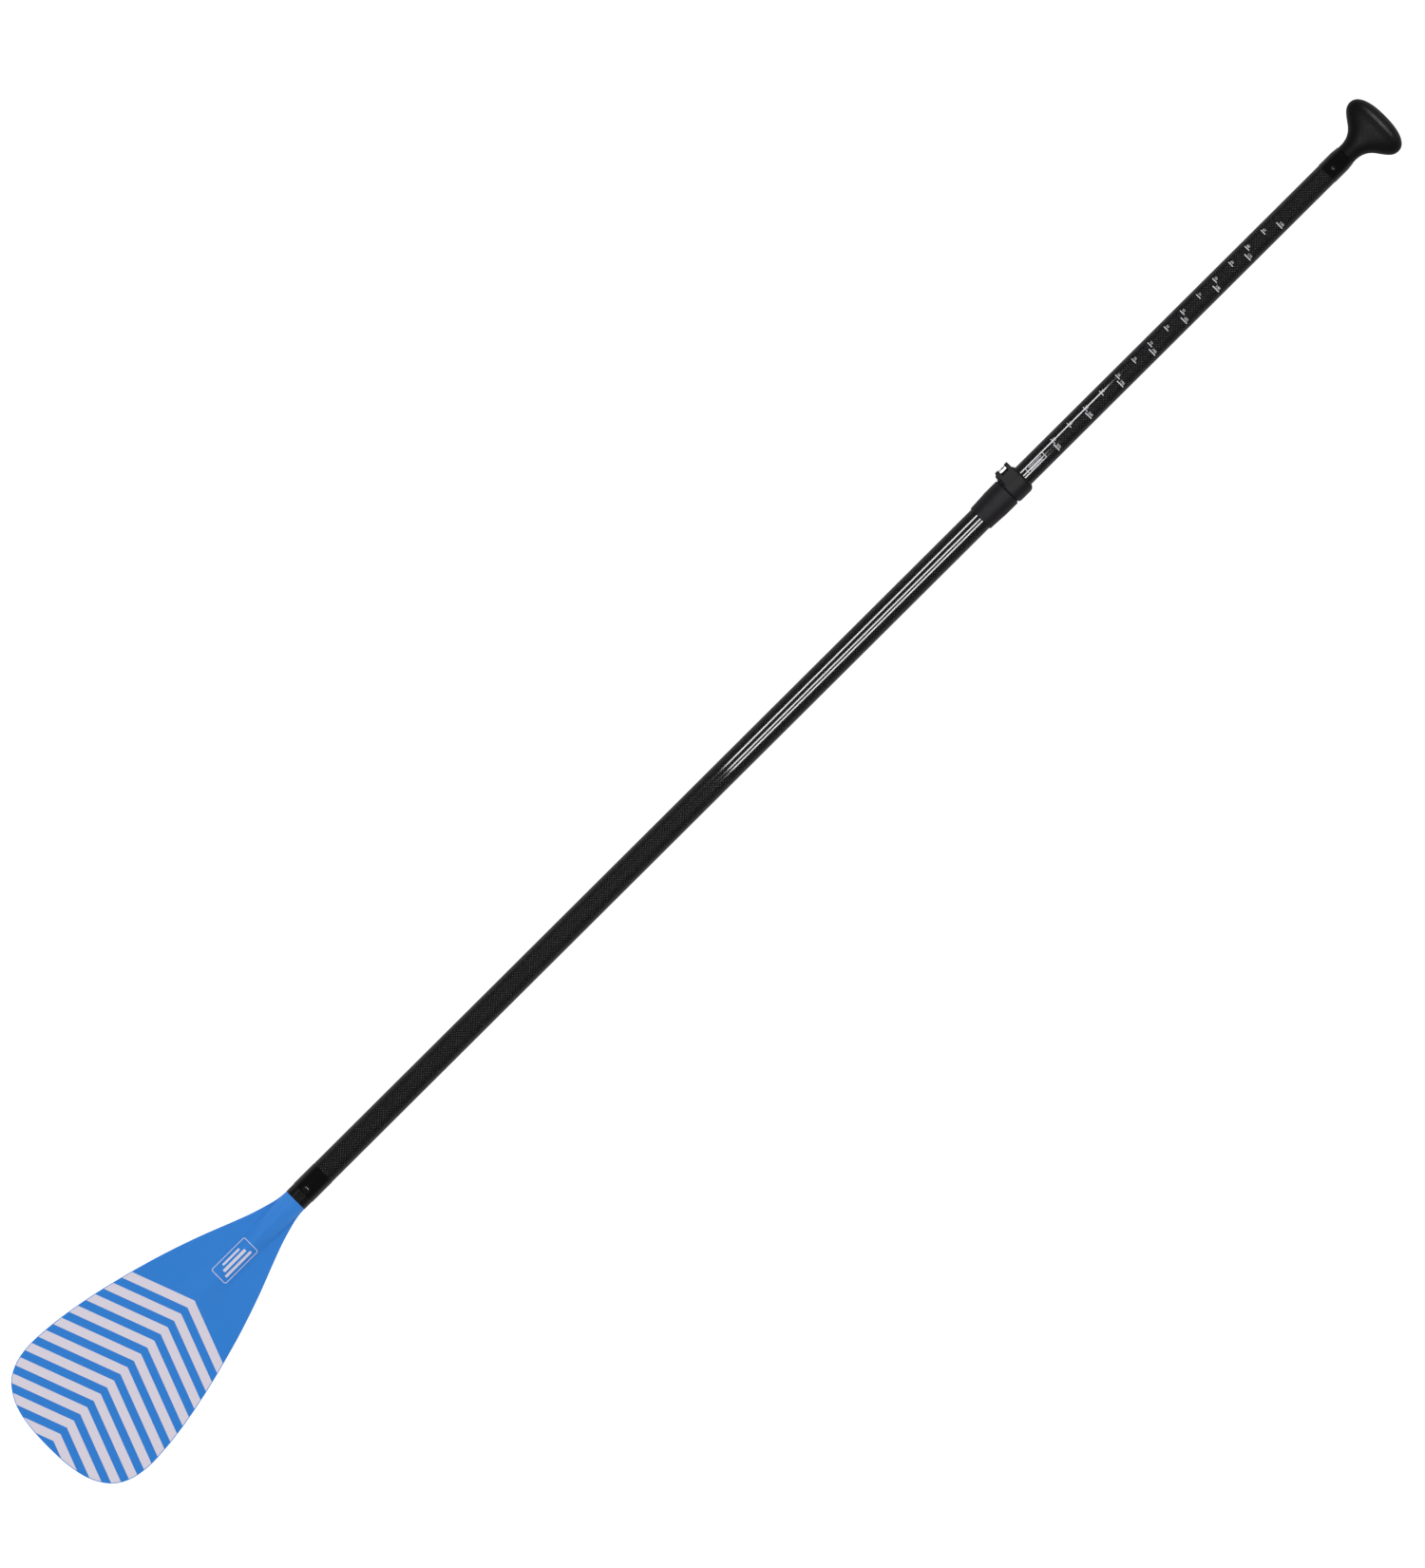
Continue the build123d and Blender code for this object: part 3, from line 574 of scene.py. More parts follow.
def side(d, y, heights, widths):
    h, w, k = heights(d), widths(d), T_K(d)
    t = np.abs(y) / w
    round_part = np.sqrt(np.maximum(0.0, 1 - t * t))
    soft_part = np.exp(-1.9 * t ** 2.6)
    mix = np.clip((d - 8.0) / 70.0, 0, 1)
    mix = mix * mix * (3 - 2 * mix)
    c = h * ((1 - mix) * round_part + mix * soft_part)
    return 0.5 * (c + EDGE + np.sqrt((c - EDGE) ** 2 + k * k)) - 0.5 * (np.sqrt(EDGE**2 + k * k) - EDGE) * np.minimum(1.0, t)


def front_z(d, y):
    return AXIS_Z + cant(d) + side(d, y, T_FC, T_FW)


def back_z(d, y):
    return AXIS_Z + cant(d) - side(d, y, T_BC, T_BW)


def catmull(points, per=6, closed=False):
    """Centripetal Catmull-Rom through 2D points."""
    P = [np.array(p, float) for p in points]
    P = [2 * P[0] - P[1]] + P + [2 * P[-1] - P[-2]]
    out = []
    for i in range(1, len(P) - 2):
        p0, p1, p2, p3 = P[i - 1:i + 3]
        t0 = 0.0
        t1 = t0 + max(1e-6, np.linalg.norm(p1 - p0)) ** 0.5
        t2 = t1 + max(1e-6, np.linalg.norm(p2 - p1)) ** 0.5
        t3 = t2 + max(1e-6, np.linalg.norm(p3 - p2)) ** 0.5
        for k in range(per):
            t = t1 + (t2 - t1) * k / per
            a1 = (t1 - t) / (t1 - t0) * p0 + (t - t0) / (t1 - t0) * p1
            a2 = (t2 - t) / (t2 - t1) * p1 + (t - t1) / (t2 - t1) * p2
            a3 = (t3 - t) / (t3 - t2) * p2 + (t - t2) / (t3 - t2) * p3
            b1 = (t2 - t) / (t2 - t0) * a1 + (t - t0) / (t2 - t0) * a2
            b2 = (t3 - t) / (t3 - t1) * a2 + (t - t1) / (t3 - t1) * a3
            out.append((t2 - t) / (t2 - t1) * b1 + (t - t1) / (t2 - t1) * b2)
    out.append(P[-2])
    return [tuple(p) for p in out]


RIM = 0.85


def blade_outline(inset):
    """Closed outline (d, y), starting at the neck's +Y corner, tip in the middle, inset from the true rim except at the neck face."""
    half = catmull(half_width, 6)
    whole = half + [(d, -y) for d, y in half[-2::-1]]
    pts = np.array(whole)
    tang = np.gradient(pts, axis=0)
    tang /= np.linalg.norm(tang, axis=1)[:, None]
    nrm = np.c_[-tang[:, 1], tang[:, 0]]          # outward for this direction of travel
    if nrm[len(pts) // 4, 1] < 0:
        nrm = -nrm
    fade = np.clip(pts[:, 0] / 6.0, 0, 1)
    inner = pts - nrm * (inset * fade)[:, None]
    return inner, nrm * fade[:, None]


# ---- printed pattern, in (d, y) millimetres -----------------------------------------
def rounded_rect(d0, d1, y0, y1, r, n=6):
    out = []
    for cx, cy, a0 in ((d1 - r, y1 - r, 0), (d0 + r, y1 - r, 90), (d0 + r, y0 + r, 180), (d1 - r, y0 + r, 270)):
        for k in range(n + 1):
            a = math.radians(a0 + 90 * k / n)
            out.append((cx + r * math.cos(a), cy + r * math.sin(a)))
    return out


def pattern_polygons():
    """[(tag, polygon)]: 'mark' and 'mark2' printed, 'blue' bare again on top of 'mark'."""
    P = []
    # plain parallel V stripes over the lower blade, equal in width and spacing; the outline clips them
    for k in range(11):
        d0, hw, th, rise = 158.0 + 21.0 * k, 112.0, 11.0, 42.0
        P.append(("mark", [(d0 + rise, -hw), (d0, 0.0), (d0 + rise, hw), (d0 + rise + th, hw), (d0 + th, 0.0), (d0 + rise + th, -hw)]))
    # label: rounded frame with three plain bars
    P.append(("mark", rounded_rect(69.0, 121.0, -11.3, 11.3, 2.6)))
    P.append(("blue", rounded_rect(69.75, 120.25, -10.55, 10.55, 1.95)))
    for y0, y1, d0, d1 in ((-7.2, -4.2, 75, 115), (-1.6, 1.9, 78, 112), (4.6, 7.0, 82, 108)):
        P.append(("mark2", rounded_rect(d0, d1, y0, y1, 1.0, 4)))
    return P


def dense(poly):
    """Edges cut short, so that the printed shapes follow the curved surface."""
    out = []
    for (a0, b0), (a1, b1) in zip(poly, poly[1:] + poly[:1]):
        step = 1.2 if min(a0, a1) < 200 else 3.0
        n = max(1, math.ceil(math.hypot(a1 - a0, b1 - b0) / step))
        out += [(a0 + (a1 - a0) * k / n, b0 + (b1 - b0) * k / n) for k in range(n)]
    return out


def grid_points(inside_w):
    pts = []
    d = 1.2
    while d < 387.5:
        w = float(T_W(d)) - 1.6
        step = 1.6 if d < 60 else 2.4 if d < 120 else 3.6
        if w > 0.5:
            if d < 130:
                n = 22
                core = min(w, 19.0)
                ys = [core * math.sin(math.pi / 2 * k / n) for k in range(-n, n + 1)]
                q = core + step
                while q < w:
                    ys += [q, -q]
                    q += step
            else:
                n = int(w / 3.6)
                ys = [w * k / max(1, n) for k in range(-n, n + 1)]
            off = 0.0 if int(d * 10) % 2 else 0.0
            pts += [(d, y + off) for y in ys]
        d += step
    return pts


def build_blade():
    outline, nrm = blade_outline(RIM)
    verts = [tuple(p) for p in outline]
    faces = [list(range(len(verts)))]
    # the neck face gets points too, evenly by angle
    tags = ["outline"]
    neck = [(0.0, 14.1 * math.sin(math.pi / 2 * k / 14)) for k in range(-13, 14)]
    faces[0] = list(range(len(verts))) + list(range(len(verts), len(verts) + len(neck)))
    verts += neck
    border_count = len(verts)
    for tag, poly in pattern_polygons():
        i0 = len(verts)
        verts += dense([tuple(p) for p in poly])
        faces.append(list(range(i0, len(verts))))
        tags.append(tag)
    # every input face has to run anticlockwise, or its outside is taken for its inside
    for i, f in enumerate(faces):
        turn = sum(verts[f[k - 1]][0] * verts[f[k]][1] - verts[f[k]][0] * verts[f[k - 1]][1] for k in range(len(f)))
        if turn < 0:
            faces[i] = f[::-1]
    verts += grid_points(None)
    v2, e2, f2, ov, oe, of = delaunay_2d_cdt([Vector(v) for v in verts], [], faces, 0, 1e-4, True)
    keep, print_face = [], []
    for tri, orig in zip(f2, of):
        t = {tags[i] for i in orig}
        if "outline" not in t:
            continue
        white = False
        if "mark" in t:
            white = True
        if "blue" in t:
            white = False
        if "mark2" in t:
            white = True
        keep.append(tuple(tri))
        print_face.append(1 if white else 0)
    pts2 = np.array([(p.x, p.y) for p in v2])
    # drop the points that no kept triangle uses
    used = sorted({i for t in keep for i in t})
    remap = {o: n for n, o in enumerate(used)}
    pts2 = pts2[used]
    front = [tuple(remap[i] for i in t) for t in keep]
    # anticlockwise in (d, y) is clockwise in (x, y), because x = NECK_X - d
    def area(t):
        a, b, c = pts2[list(t)]
        return (b[0] - a[0]) * (c[1] - a[1]) - (b[1] - a[1]) * (c[0] - a[0])
    front = [t if area(t) < 0 else (t[0], t[2], t[1]) for t in front]
    zf = front_z(pts2[:, 0], pts2[:, 1])
    V = [(NECK_X - d, y, z) for (d, y), z in zip(pts2, zf)]
    F = list(front)
    MI = list(print_face)
    # border loop of the front
    edge = {}
    for t in front:
        for a, b in ((t[0], t[1]), (t[1], t[2]), (t[2], t[0])):
            edge[(a, b)] = edge.get((a, b), 0) + 1
    nxt = {a: b for (a, b) in edge if (b, a) not in edge}
    start = next(iter(nxt))
    loop = [start]
    while True:
        q = nxt[loop[-1]]
        if q == start:
            break
        loop.append(q)
    lp = pts2[loop]
    # outward directions, taken from the nearest outline point
    dirs = []
    for p in lp:
        if p[0] < 1e-3:
            dirs.append((0.0, 0.0))
            continue
        j = int(np.argmin(((outline - p) ** 2).sum(1)))
        dirs.append(tuple(nrm[j]))
    dirs = np.array(dirs)
    zt, zb = front_z(lp[:, 0], lp[:, 1]), back_z(lp[:, 0], lp[:, 1])
    rings = [loop]
    steps = 6
    for k in range(1, steps + 1):
        a = math.pi * k / steps
        ring = []
        for i in range(len(loop)):
            p = lp[i] + dirs[i] * RIM * math.sin(a)
            z = (zt[i] + zb[i]) / 2 + (zt[i] - zb[i]) / 2 * math.cos(a)
            ring.append(len(V))
            V.append((NECK_X - p[0], p[1], z))
        rings.append(ring)
    n = len(loop)
    for A, B in zip(rings, rings[1:]):
        for i in range(n):
            j = (i + 1) % n
            F.append((A[j], A[i], B[i], B[j]))
            MI.append(0)
    # back
    bverts = [Vector(p) for p in lp] + [Vector(p) for p in grid_points(None)]
    rim = list(range(n))
    if sum(lp[k - 1][0] * lp[k][1] - lp[k][0] * lp[k - 1][1] for k in range(n)) < 0:
        rim = rim[::-1]
    bv, be, bf, bov, boe, bof = delaunay_2d_cdt(bverts, [], [rim], 0, 1e-4, True)
    back_index = {}
    for i, origs in enumerate(bov):
        for o in origs:
            if o < n:
                back_index[i] = rings[-1][o]
    bz = back_z(np.array([p.x for p in bv]), np.array([p.y for p in bv]))
    for i, p in enumerate(bv):
        if i not in back_index:
            back_index[i] = len(V)
            V.append((NECK_X - p.x, p.y, float(bz[i])))
    for tri, orig in zip(bf, bof):
        if not orig:
            continue
        a, b, c = (bv[i] for i in tri)
        ar = (b.x - a.x) * (c.y - a.y) - (b.y - a.y) * (c.x - a.x)
        t = tuple(back_index[i] for i in (tri if ar > 0 else (tri[0], tri[2], tri[1])))
        F.append(t)
        MI.append(0)
    ob = add_object("blade_shell", V, F, [M_BLUE, M_PALE], "blade_unit", ("blade",), face_mat=MI)
    # no unused points
    bm = bmesh.new()
    bm.from_mesh(ob.data)
    loose = [v for v in bm.verts if not v.link_faces]
    bmesh.ops.delete(bm, geom=loose, context="VERTS")
    print("blade: verts", len(bm.verts), "faces", len(bm.faces), "open edges", sum(1 for e in bm.edges if len(e.link_faces) != 2))
    bm.to_mesh(ob.data)
    bm.free()
    mark_sharp(ob.data, 50)
    return ob


build_blade()


# =====================================================================================
# tubes
# =====================================================================================
def build_tubes():
    lower = lathe("lower_tube_shell", [(-661.8, 13.5), (-661.8, 13.8), (-661.6, 14.0), (-650.0, 14.0), (-650.0, 14.5), (-637.0, 14.5),
                                       (455.0, 14.5), (455.2, 14.3), (455.2, 13.5), (-637.0, 13.5)],
                  "lower_shaft", [M_CARBON_L], ("lower_tube",), segs=144)
    cut(lower, *disc_cutter(-644.0, 0.0, 4.75, AXIS_Z + 6.0, AXIS_Z + 20.0))
    mark_sharp(lower.data, 32)
    lathe("upper_tube_shell", [(330.0, 12.0), (330.0, 12.7), (330.3, 13.0), (976.8, 13.0), (977.0, 12.8), (977.0, 12.0)],
          "upper_shaft", [M_CARBON_U], ("upper_tube",), segs=144)


build_tubes()


# =====================================================================================
# palm grip
# =====================================================================================
GRIP_X0, GRIP_LEN = 987.6, 62.4
T_GW = Table([(0, 11.9), (4.9, 11.75), (8.8, 12.1), (12.7, 13.0), (16.7, 14.7), (20.6, 17.2), (24.5, 21.1), (28.4, 26.4),
              (32.4, 31.6), (36.3, 35.5), (40.2, 37.8), (44.1, 38.7)])
T_GH = Table([(0, 11.9), (8.8, 11.75), (16.7, 12.1), (24.5, 13.2), (32.4, 14.9), (40.2, 16.6), (45.0, 17.3), (49.0, 17.46)])
T_GN = Table([(0, 2.0), (12, 2.0), (30, 2.25), (44, 2.5), (62.4, 2.3)])


def build_grip():
    segs = 144
    st = list(np.linspace(0, 44.1, 74)[:-1]) + [44.1 + 18.3 * math.sin(math.pi / 2 * k / 44) for k in range(44)]
    V, F = [], []

    def ring(x, w, h, n):
        base = len(V)
        for i in range(segs):
            a = 2 * math.pi * i / segs
            c, q = math.cos(a), math.sin(a)
            V.append((x, math.copysign(abs(c) ** (2 / n), c) * w, AXIS_Z + math.copysign(abs(q) ** (2 / n), q) * h))
        return list(range(base, base + segs))

    def join(A, B):
        for k in range(segs):
            k2 = (k + 1) % segs
            F.append((A[k], A[k2], B[k2], B[k]))

    rings = [ring(GRIP_X0 + 24.6, 8.0, 8.0, 2.0), ring(GRIP_X0, 8.0, 8.0, 2.0), ring(GRIP_X0, 11.45, 11.45, 2.0),
             ring(GRIP_X0 + 0.12, 11.72, 11.72, 2.0)]
    for s_ in st:
        if s_ < 0.45:
            continue
        w = float(T_GW(s_)) if s_ <= 44.1 else 38.7 * (1 - ((s_ - 44.1) / 18.3) ** 2.4) ** (1 / 2.4)
        h = float(T_GH(s_)) if s_ <= 49.0 else 17.46 * math.sqrt(max(0, 1 - ((s_ - 49.0) / 13.4) ** 2))
        rings.append(ring(GRIP_X0 + s_, w, h, float(T_GN(s_))))
    for A, B in zip(rings, rings[1:]):
        join(A, B)
    c0, c1 = len(V), len(V) + 1
    V.append((GRIP_X0 + 24.6, 0.0, AXIS_Z))
    V.append((GRIP_X0 + GRIP_LEN - 0.01, 0.0, AXIS_Z))
    for k in range(segs):
        k2 = (k + 1) % segs
        F.append((c0, rings[0][k2], rings[0][k]))
        F.append((c1, rings[-1][k], rings[-1][k2]))
    ob = add_object("palm_grip_shell", V, F, [M_GRIP], "upper_shaft", ("palm_grip",))
    recalc(ob)
    mark_sharp(ob.data, 60)
    return ob


build_grip()


# =====================================================================================
# snap button and its spring
# =====================================================================================
BX = -644.0


def spun(name, profile, cx, cy, body, mats, replaces=(), segs=72, sharp=40):
    """Solid of revolution about a vertical axis; profile in (radius, z), from axis to axis."""
    V, F, rings = [], [], []
    for r, z in profile:
        if r < 1e-6:
            rings.append([len(V)])
            V.append((cx, cy, z))
        else:
            rings.append(list(range(len(V), len(V) + segs)))
            for k in range(segs):
                a = 2 * math.pi * k / segs
                V.append((cx + r * math.cos(a), cy + r * math.sin(a), z))
    for A, B in zip(rings, rings[1:]):
        for k in range(segs):
            k2 = (k + 1) % segs
            if len(A) == 1:
                F.append((A[0], B[k2], B[k]))
            elif len(B) == 1:
                F.append((A[k], A[k2], B[0]))
            else:
                F.append((A[k], A[k2], B[k2], B[k]))
    ob = add_object(name, V, F, mats, body, replaces)
    recalc(ob)
    mark_sharp(ob.data, sharp)
    return ob


dome = [(3.92 * math.cos(math.pi / 2 * k / 16) ** 0.8, AXIS_Z + 14.2 + 2.75 * math.sin(math.pi / 2 * k / 16)) for k in range(17)]
dome[-1] = (0.0, AXIS_Z + 16.95)
spun("snap_button_dome", [(0.0, AXIS_Z + 9.2), (5.0, AXIS_Z + 9.2), (5.2, AXIS_Z + 9.4), (5.2, AXIS_Z + 10.25), (5.0, AXIS_Z + 10.45),
                          (4.05, AXIS_Z + 10.45), (3.92, AXIS_Z + 10.6)] + dome, BX, 0.0, "button", [M_BUTTON], ("snap_button",))


def build_spring():
    """Leaf spring of the button: a strip bent back on itself, 7 mm wide, rounded edges."""
    t = 0.6
    mid = [(BX - 5.4, 8.8), (BX - 1, 8.8), (BX + 4.6, 8.8), (BX + 7.2, 8.2), (BX + 16, 6.05), (BX + 26, 3.6), (BX + 34.6, 1.5),
           (BX + 37.0, 0.6), (BX + 37.6, 0.0), (BX + 37.0, -0.6), (BX + 34.6, -1.5), (BX + 24, -4.2), (BX + 12, -7.3), (BX + 2, -9.8),
           (BX - 2.2, -10.8), (BX - 5, -10.9), (BX - 7.8, -10.9)]
    c = np.array(catmull(mid, 6))
    d = np.gradient(c, axis=0)
    d /= np.linalg.norm(d, axis=1)[:, None]
    nn = np.c_[-d[:, 1], d[:, 0]]
    sec = []                                       # rounded section: (offset across thickness, offset across width)
    for sy, sz in ((1, 1), (-1, 1), (-1, -1), (1, -1)):
        base = {(1, 1): 0, (-1, 1): 90, (-1, -1): 180, (1, -1): 270}[(sy, sz)]
        for k in range(4):
            a = math.radians(base + 30 * k)
            # width in local x, thickness in local y
            sec.append((sy * (3.5 - 0.15) + 0.15 * math.cos(a), sz * (t / 2 - 0.15) + 0.15 * math.sin(a)))
    V, F = [], []
    for p, n_ in zip(c, nn):
        for wy, tz in sec:
            V.append((p[0] + n_[0] * tz, wy, AXIS_Z + p[1] + n_[1] * tz))
    m_, k_ = len(sec), len(c)
    for i in range(k_ - 1):
        for j in range(m_):
            j2 = (j + 1) % m_
            F.append((i * m_ + j, i * m_ + j2, (i + 1) * m_ + j2, (i + 1) * m_ + j))
    F.append(tuple(range(m_))[::-1])
    F.append(tuple((k_ - 1) * m_ + j for j in range(m_)))
    ob = add_object("button_leaf_spring", V, F, [M_SPRING], "blade_unit", ("button_spring",))
    recalc(ob)
    mark_sharp(ob.data, 60)
    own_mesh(ob)
    return ob


build_spring()


# =====================================================================================
# printed length scale on the upper tube
# =====================================================================================
def tube_patch(V, F, x0, x1, t0, t1, r, top=0.045, base=-0.15):
    """Closed thin patch of ink on the tube; t is the distance from the centre line towards -Y, measured flat."""
    a0, a1 = math.asin(t0 / r), math.asin(t1 / r)
    n = max(2, int(abs(a1 - a0) * r / 0.6))
    b = len(V)
    for k in range(n + 1):
        a = a0 + (a1 - a0) * k / n
        for x in (x0, x1):
            for rr in (r + top, r + base):
                V.append((x, -rr * math.sin(a), AXIS_Z + rr * math.cos(a)))
    for k in range(n):
        i, j = b + 4 * k, b + 4 * (k + 1)
        F += [(i, j, j + 2, i + 2), (i + 1, i + 3, j + 3, j + 1), (i, i + 1, j + 1, j), (i + 2, j + 2, j + 3, i + 3)]
    i, j = b, b + 4 * n
    F += [(i, i + 2, i + 3, i + 1), (j, j + 1, j + 3, j + 2)]


def number_mesh(text, size):
    """Outline of plain digits as a closed thin solid: vertices (along the line, up, height) and faces."""
    cu = bpy.data.curves.new("digits", "FONT")
    cu.body = text
    cu.size = size
    cu.extrude = 0.5
    cu.offset = 0.02
    cu.resolution_u = 6
    cu.align_x = "CENTER"
    ob = bpy.data.objects.new("digits", cu)
    bpy.context.scene.collection.objects.link(ob)
    bpy.context.view_layer.update()
    me = bpy.data.meshes.new_from_object(ob.evaluated_get(bpy.context.evaluated_depsgraph_get()))
    vs = [tuple(v.co) for v in me.vertices]
    fs = [tuple(p.vertices) for p in me.polygons]
    bpy.data.objects.remove(ob)
    bpy.data.curves.remove(cu)
    bpy.data.meshes.remove(me)
    return vs, fs


def build_scale():
    V, F = [], []
    r = 13.0

    def number(text, x, tc, size):
        vs, fs = number_mesh(text, size)
        b = len(V)
        ac = math.asin(tc / r)
        for lx, ly, lz in vs:
            a = ac + lx / r
            rr = r + (0.045 if lz > 0 else -0.15)
            V.append((x + ly, -rr * math.sin(a), AXIS_Z + rr * math.cos(a)))
        F.extend(tuple(b + i for i in f) for f in fs)

    for k in range(8):
        x = 880.0 - 50.0 * k
        tube_patch(V, F, x - 0.55, x + 0.55, -1.3, 8.3, r)
        number(str(170 + 5 * k), x + 1.5, 4.2, 4.3)
    for k in range(14):
        x = 862.0 - 25.4 * k
        tube_patch(V, F, x - 0.5, x + 0.5, -7.4, -0.6, r)
        number(str(67 + k), x + 1.4, -4.6, 4.0)
    # plain frame with bars near the clamp
    for x in (488.5, 514.7):
        tube_patch(V, F, x - 0.4, x + 0.4, -4.4, 3.4, r)
    for t in (-4.4, 3.0):
        tube_patch(V, F, 488.1, 515.1, t, t + 0.6, r)
    for t, xa, xb in ((-2.7, 492.0, 511.5), (-0.8, 492.0, 508.0), (1.1, 492.0, 510.0)):
        tube_patch(V, F, xa, xb, t, t + 0.7, r)
    ob = add_object("length_scale_print", V, F, [M_INK], "upper_shaft")
    bm = bmesh.new()
    bm.from_mesh(ob.data)
    bmesh.ops.remove_doubles(bm, verts=bm.verts[:], dist=1e-7)
    bmesh.ops.recalc_face_normals(bm, faces=bm.faces[:])
    print("scale: open edges", sum(1 for e in bm.edges if len(e.link_faces) != 2), "faces", len(bm.faces))
    bm.to_mesh(ob.data)
    bm.free()
    mark_sharp(ob.data, 30)
    return ob


build_scale()


# =====================================================================================
# moulded clamp parts: the CAD shape with its edges run round
# =====================================================================================
def moulded_copy(name, node, voxel_mm, rounds, keep, body, mat):
    src = nodes[node]
    me = src.data.copy()
    me.name = name
    me.transform(src.matrix_world)
    ob = bpy.data.objects.new(name, me)
    bpy.context.scene.collection.objects.link(ob)
    bm = bmesh.new()
    bm.from_mesh(me)
    bmesh.ops.remove_doubles(bm, verts=bm.verts[:], dist=1e-6)
    bm.to_mesh(me)
    bm.free()
    rm = ob.modifiers.new("remesh", "REMESH")
    rm.mode = "VOXEL"
    rm.voxel_size = voxel_mm * MM
    rm.adaptivity = 0.0
    sm = ob.modifiers.new("smooth", "SMOOTH")
    sm.factor = 0.5
    sm.iterations = rounds
    if keep < 1:
        dc = ob.modifiers.new("decimate", "DECIMATE")
        dc.ratio = keep
    bpy.context.view_layer.update()
    apply_modifiers(ob)
    ob.data.materials.clear()
    ob.data.materials.append(mat)
    ob.data.polygons.foreach_set("use_smooth", [True] * len(ob.data.polygons))
    ob.data.update()
    print(name, "faces", len(ob.data.polygons))
    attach(ob, body)
    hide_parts(node)
    return ob


moulded_copy("clamp_body_shell", "clamp_body", 0.3, 4, 0.35, "lower_shaft", M_CLAMP)
moulded_copy("clamp_lever_shell", "clamp_lever", 0.2, 4, 0.35, "lever", M_LEVER)

# =====================================================================================
# camera, light, floor
# =====================================================================================
THETA = math.radians(44.85)
PX = 0.9452                                  # image pixels per millimetre, for the 1500 x 1650 frame
R = Vector((math.cos(THETA), -math.sin(THETA), 0))
U = Vector((math.sin(THETA), math.cos(THETA), 0))
centre = (R * (-4.5 / PX) + U * (-3.2 / PX)) * MM
cam_data = bpy.data.cameras.new("camera")
cam_data.type = "PERSP"
cam_data.sensor_width = 36.0
cam_data.lens = 1200.0
high = 1650 / PX * MM
dist = high / 36.0 * cam_data.lens
cam = bpy.data.objects.new("camera", cam_data)
bpy.context.scene.collection.objects.link(cam)
cam.location = (centre.x, centre.y, AXIS_Z * MM + dist)
cam.rotation_euler = (0, 0, -THETA)
cam_data.clip_start, cam_data.clip_end = 0.5, 90.0
bpy.context.scene.camera = cam

me = bpy.data.meshes.new("floor")
me.from_pydata([(-15, -15, 0), (15, -15, 0), (15, 15, 0), (-15, 15, 0)], [], [(0, 1, 2, 3)])
floor = bpy.data.objects.new("floor", me)
bpy.context.scene.collection.objects.link(floor)
fm = Nodes("pale_floor")
fv, fx, fy, fz = fm.xyz()
fcol = fm.mix(fm.noise(fv, 1.2, 2.0, 0.5), (0.46, 0.46, 0.463), (0.48, 0.48, 0.482))
me.materials.append(fm.done(fcol, 0.9, Specular_IOR_Level=0.0, Emission_Color=(1.0, 1.0, 1.0, 1.0), Emission_Strength=0.85))
floor.visible_glossy = False

# soft even room light; the gloss sees a dim room instead, so that black gloss stays black
world = bpy.data.worlds.new("studio")
bpy.context.scene.world = world
world.use_nodes = True
wt = world.node_tree
bg = next(n for n in wt.nodes if n.type == "BACKGROUND")
bg.inputs[0].default_value = (1.0, 1.0, 1.0, 1.0)
bg.inputs[1].default_value = 0.60
dim = wt.nodes.new("ShaderNodeBackground")
dim.inputs[0].default_value = (1.0, 0.95, 0.98, 1.0)
wc = wt.nodes.new("ShaderNodeTexCoord")
ws = wt.nodes.new("ShaderNodeSeparateXYZ")
wr = wt.nodes.new("ShaderNodeMapRange")
wt.links.new(wc.outputs["Generated"], ws.inputs[0])
wt.links.new(ws.outputs[2], wr.inputs[0])
for i, val in enumerate((0.3, -0.5, 0.02, 0.32)):
    wr.inputs[1 + i].default_value = val
wt.links.new(wr.outputs[0], dim.inputs[1])
lp = wt.nodes.new("ShaderNodeLightPath")
mixw = wt.nodes.new("ShaderNodeMixShader")
wt.links.new(lp.outputs["Is Glossy Ray"], mixw.inputs[0])
wt.links.new(bg.outputs[0], mixw.inputs[1])
wt.links.new(dim.outputs[0], mixw.inputs[2])
wt.links.new(mixw.outputs[0], next(n for n in wt.nodes if n.type == "OUTPUT_WORLD").inputs[0])


def area(name, loc, target, sx, sy, power, glossy=True, diffuse=True):
    d = bpy.data.lights.new(name, "AREA")
    d.shape = "RECTANGLE"
    d.size, d.size_y = sx, sy
    d.energy = power
    o = bpy.data.objects.new(name, d)
    bpy.context.scene.collection.objects.link(o)
    o.location = loc
    o.rotation_euler = (Vector(target) - Vector(loc)).to_track_quat("-Z", "Y").to_euler()
    o.visible_camera = False
    o.visible_glossy = glossy
    o.visible_diffuse = diffuse
    return o


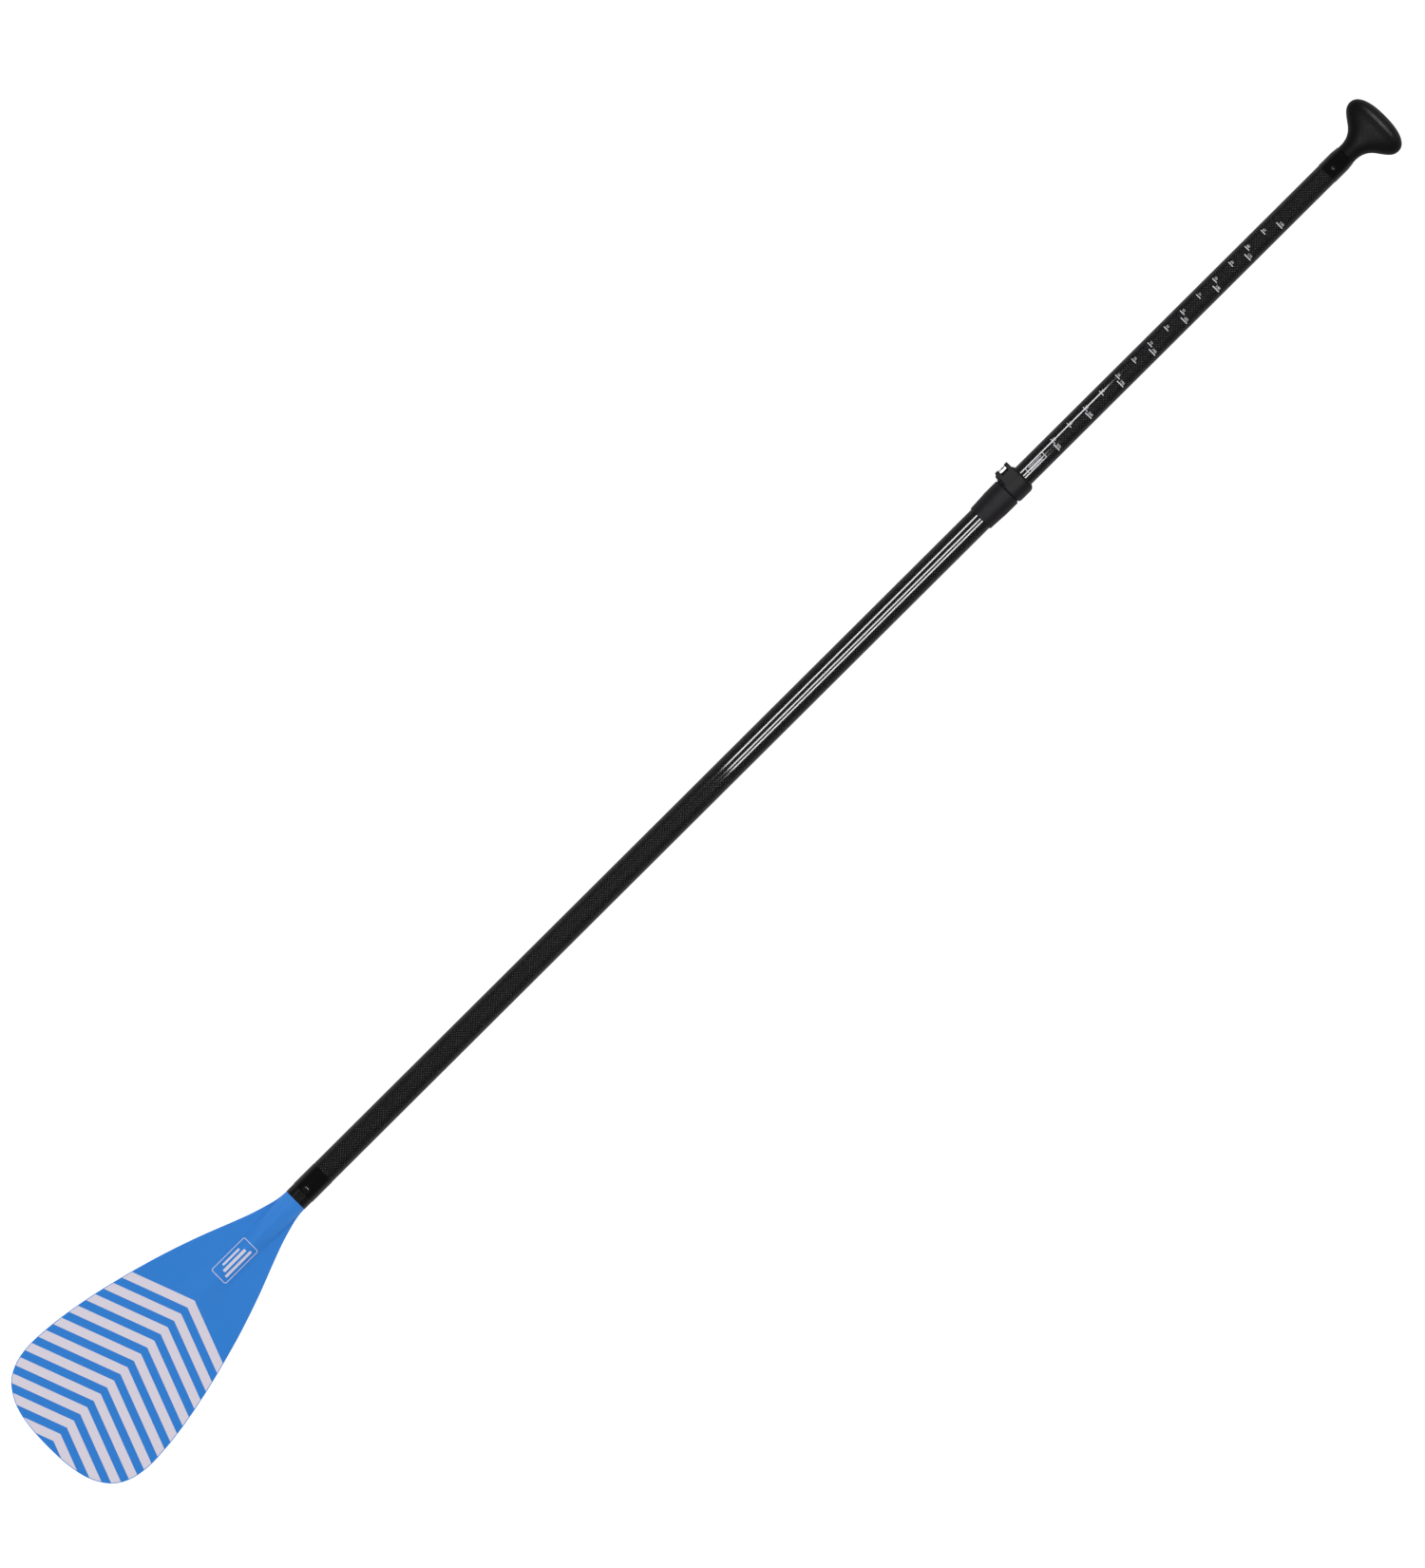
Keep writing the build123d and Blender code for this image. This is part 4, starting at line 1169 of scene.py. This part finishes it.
def strip(name, angle_deg, x0, x1, width_deg, radiance, height=3.0):
    """Narrow reflector above the shaft, seen only in gloss: angle from the vertical towards +Y."""
    a = math.radians(angle_deg)
    xc, L = (x0 + x1) / 2, (x1 - x0)
    w = height / math.cos(a) * math.radians(width_deg)
    d = bpy.data.lights.new(name, "AREA")
    d.shape = "RECTANGLE"
    d.size, d.size_y = L, w
    d.energy = radiance * math.pi * L * w
    o = bpy.data.objects.new(name, d)
    bpy.context.scene.collection.objects.link(o)
    pos = Vector((xc, height * math.tan(a), height + AXIS_Z * MM))
    zax = (pos - Vector((xc, 0, AXIS_Z * MM))).normalized()
    xax = Vector((1, 0, 0))
    yax = zax.cross(xax).normalized()
    o.matrix_world = Matrix(((xax.x, yax.x, zax.x, pos.x), (xax.y, yax.y, zax.y, pos.y), (xax.z, yax.z, zax.z, pos.z), (0, 0, 0, 1)))
    o.visible_camera = False
    o.visible_diffuse = False
    return o


area("key", (-1.4, 2.2, 3.6), (0, 0, 0), 3.4, 2.8, 60.0, glossy=False)
area("fill", (1.6, -2.2, 3.4), (0, 0, 0), 3.0, 2.6, 40.0, glossy=False)
strip("strip_a", 41.0, 0.02, 0.66, 12.0, 20.0)
strip("strip_b", -1.0, 0.02, 0.54, 11.0, 20.0)
strip("strip_c", -27.6, 0.02, 0.54, 11.5, 20.0)


def tilted(name, x, tilt_deg, size_x, size_y, radiance, height=3.0):
    """Reflector seen only in gloss, tilted along the shaft so that the tubes don't mirror it from above, only the satin parts
    and the crowned ones do."""
    a = math.radians(tilt_deg)
    o = area(name, (x + height * math.tan(a), 0.0, height), (x, 0.0, 0.0), size_x, size_y, radiance * math.pi * size_x * size_y, diffuse=False)
    z = Vector((math.sin(a), 0, math.cos(a)))
    xa = Vector((math.cos(a), 0, -math.sin(a)))
    p = o.location
    o.matrix_world = Matrix(((xa.x, 0, z.x, p.x), (xa.y, 1, z.y, p.y), (xa.z, 0, z.z, p.z), (0, 0, 0, 1)))
    return o


# above the strips, because a light that isn't linked to a piece still hides the ones behind it
sheen = tilted("sheen", 0.48, 0.0, 1.1, 6.4, 1.55, height=3.7)
sheen.location.y += 0.2
ridge = tilted("ridge", 1.04, 44.0, 0.32, 2.4, 28.0)
throat = tilted("throat", 1.00, -18.0, 0.5, 1.6, 4.5, height=3.9)

scene = bpy.context.scene
scene.view_settings.view_transform = "Standard"
scene.view_settings.look = "None"
scene.view_settings.exposure = 0.0

shown = {"lower_tube": M_CARBON_L, "upper_tube": M_CARBON_U, "blade_ferrule": M_FERRULE, "ferrule_plug": M_FERRULE,
               "button_spring": M_SPRING, "snap_button": M_BUTTON, "shaft_end_ring": M_RING, "shaft_end_sleeve": M_SLEEVE,
               "lower_tube_plug": M_FOAM, "clamp_body": M_CLAMP, "clamp_liner": M_LINER, "lever_pin": M_STEEL,
               "tension_bolt": M_STEEL, "tension_nut": M_STEEL, "clamp_lever": M_LEVER, "glide_ring": M_LINER,
               "upper_tube_plug": M_FERRULE, "grip_sleeve": M_SLEEVE, "grip_spigot": M_FERRULE, "grip_rivet": M_RING,
               "palm_grip": M_GRIP, "blade": M_BLUE}
for n, mat in shown.items():
    o = nodes[n]
    o.data.materials.clear()
    o.data.materials.append(mat)



def lit_only(lights, pieces):
    """These reflectors show only in these pieces, as flags placed round the set would have it."""
    c = bpy.data.collections.new("lit_by_" + lights[0].name)
    for p in pieces:
        c.objects.link(p)
    for l in lights:
        l.light_linking.receiver_collection = c


piece = {o.name: o for o in scene.objects}
lit_only([piece["strip_a"], piece["strip_b"], piece["strip_c"]],
         [nodes[n] for n in ("shaft_end_ring", "grip_rivet", "lever_pin", "tension_bolt", "tension_nut", "clamp_liner")]
         + [piece[n] for n in ("lower_tube_shell", "upper_tube_shell", "snap_button_dome", "length_scale_print")])
lit_only([sheen], [piece["clamp_body_shell"], piece["clamp_lever_shell"], nodes["clamp_liner"]])
lit_only([ridge, throat], [piece["palm_grip_shell"]])
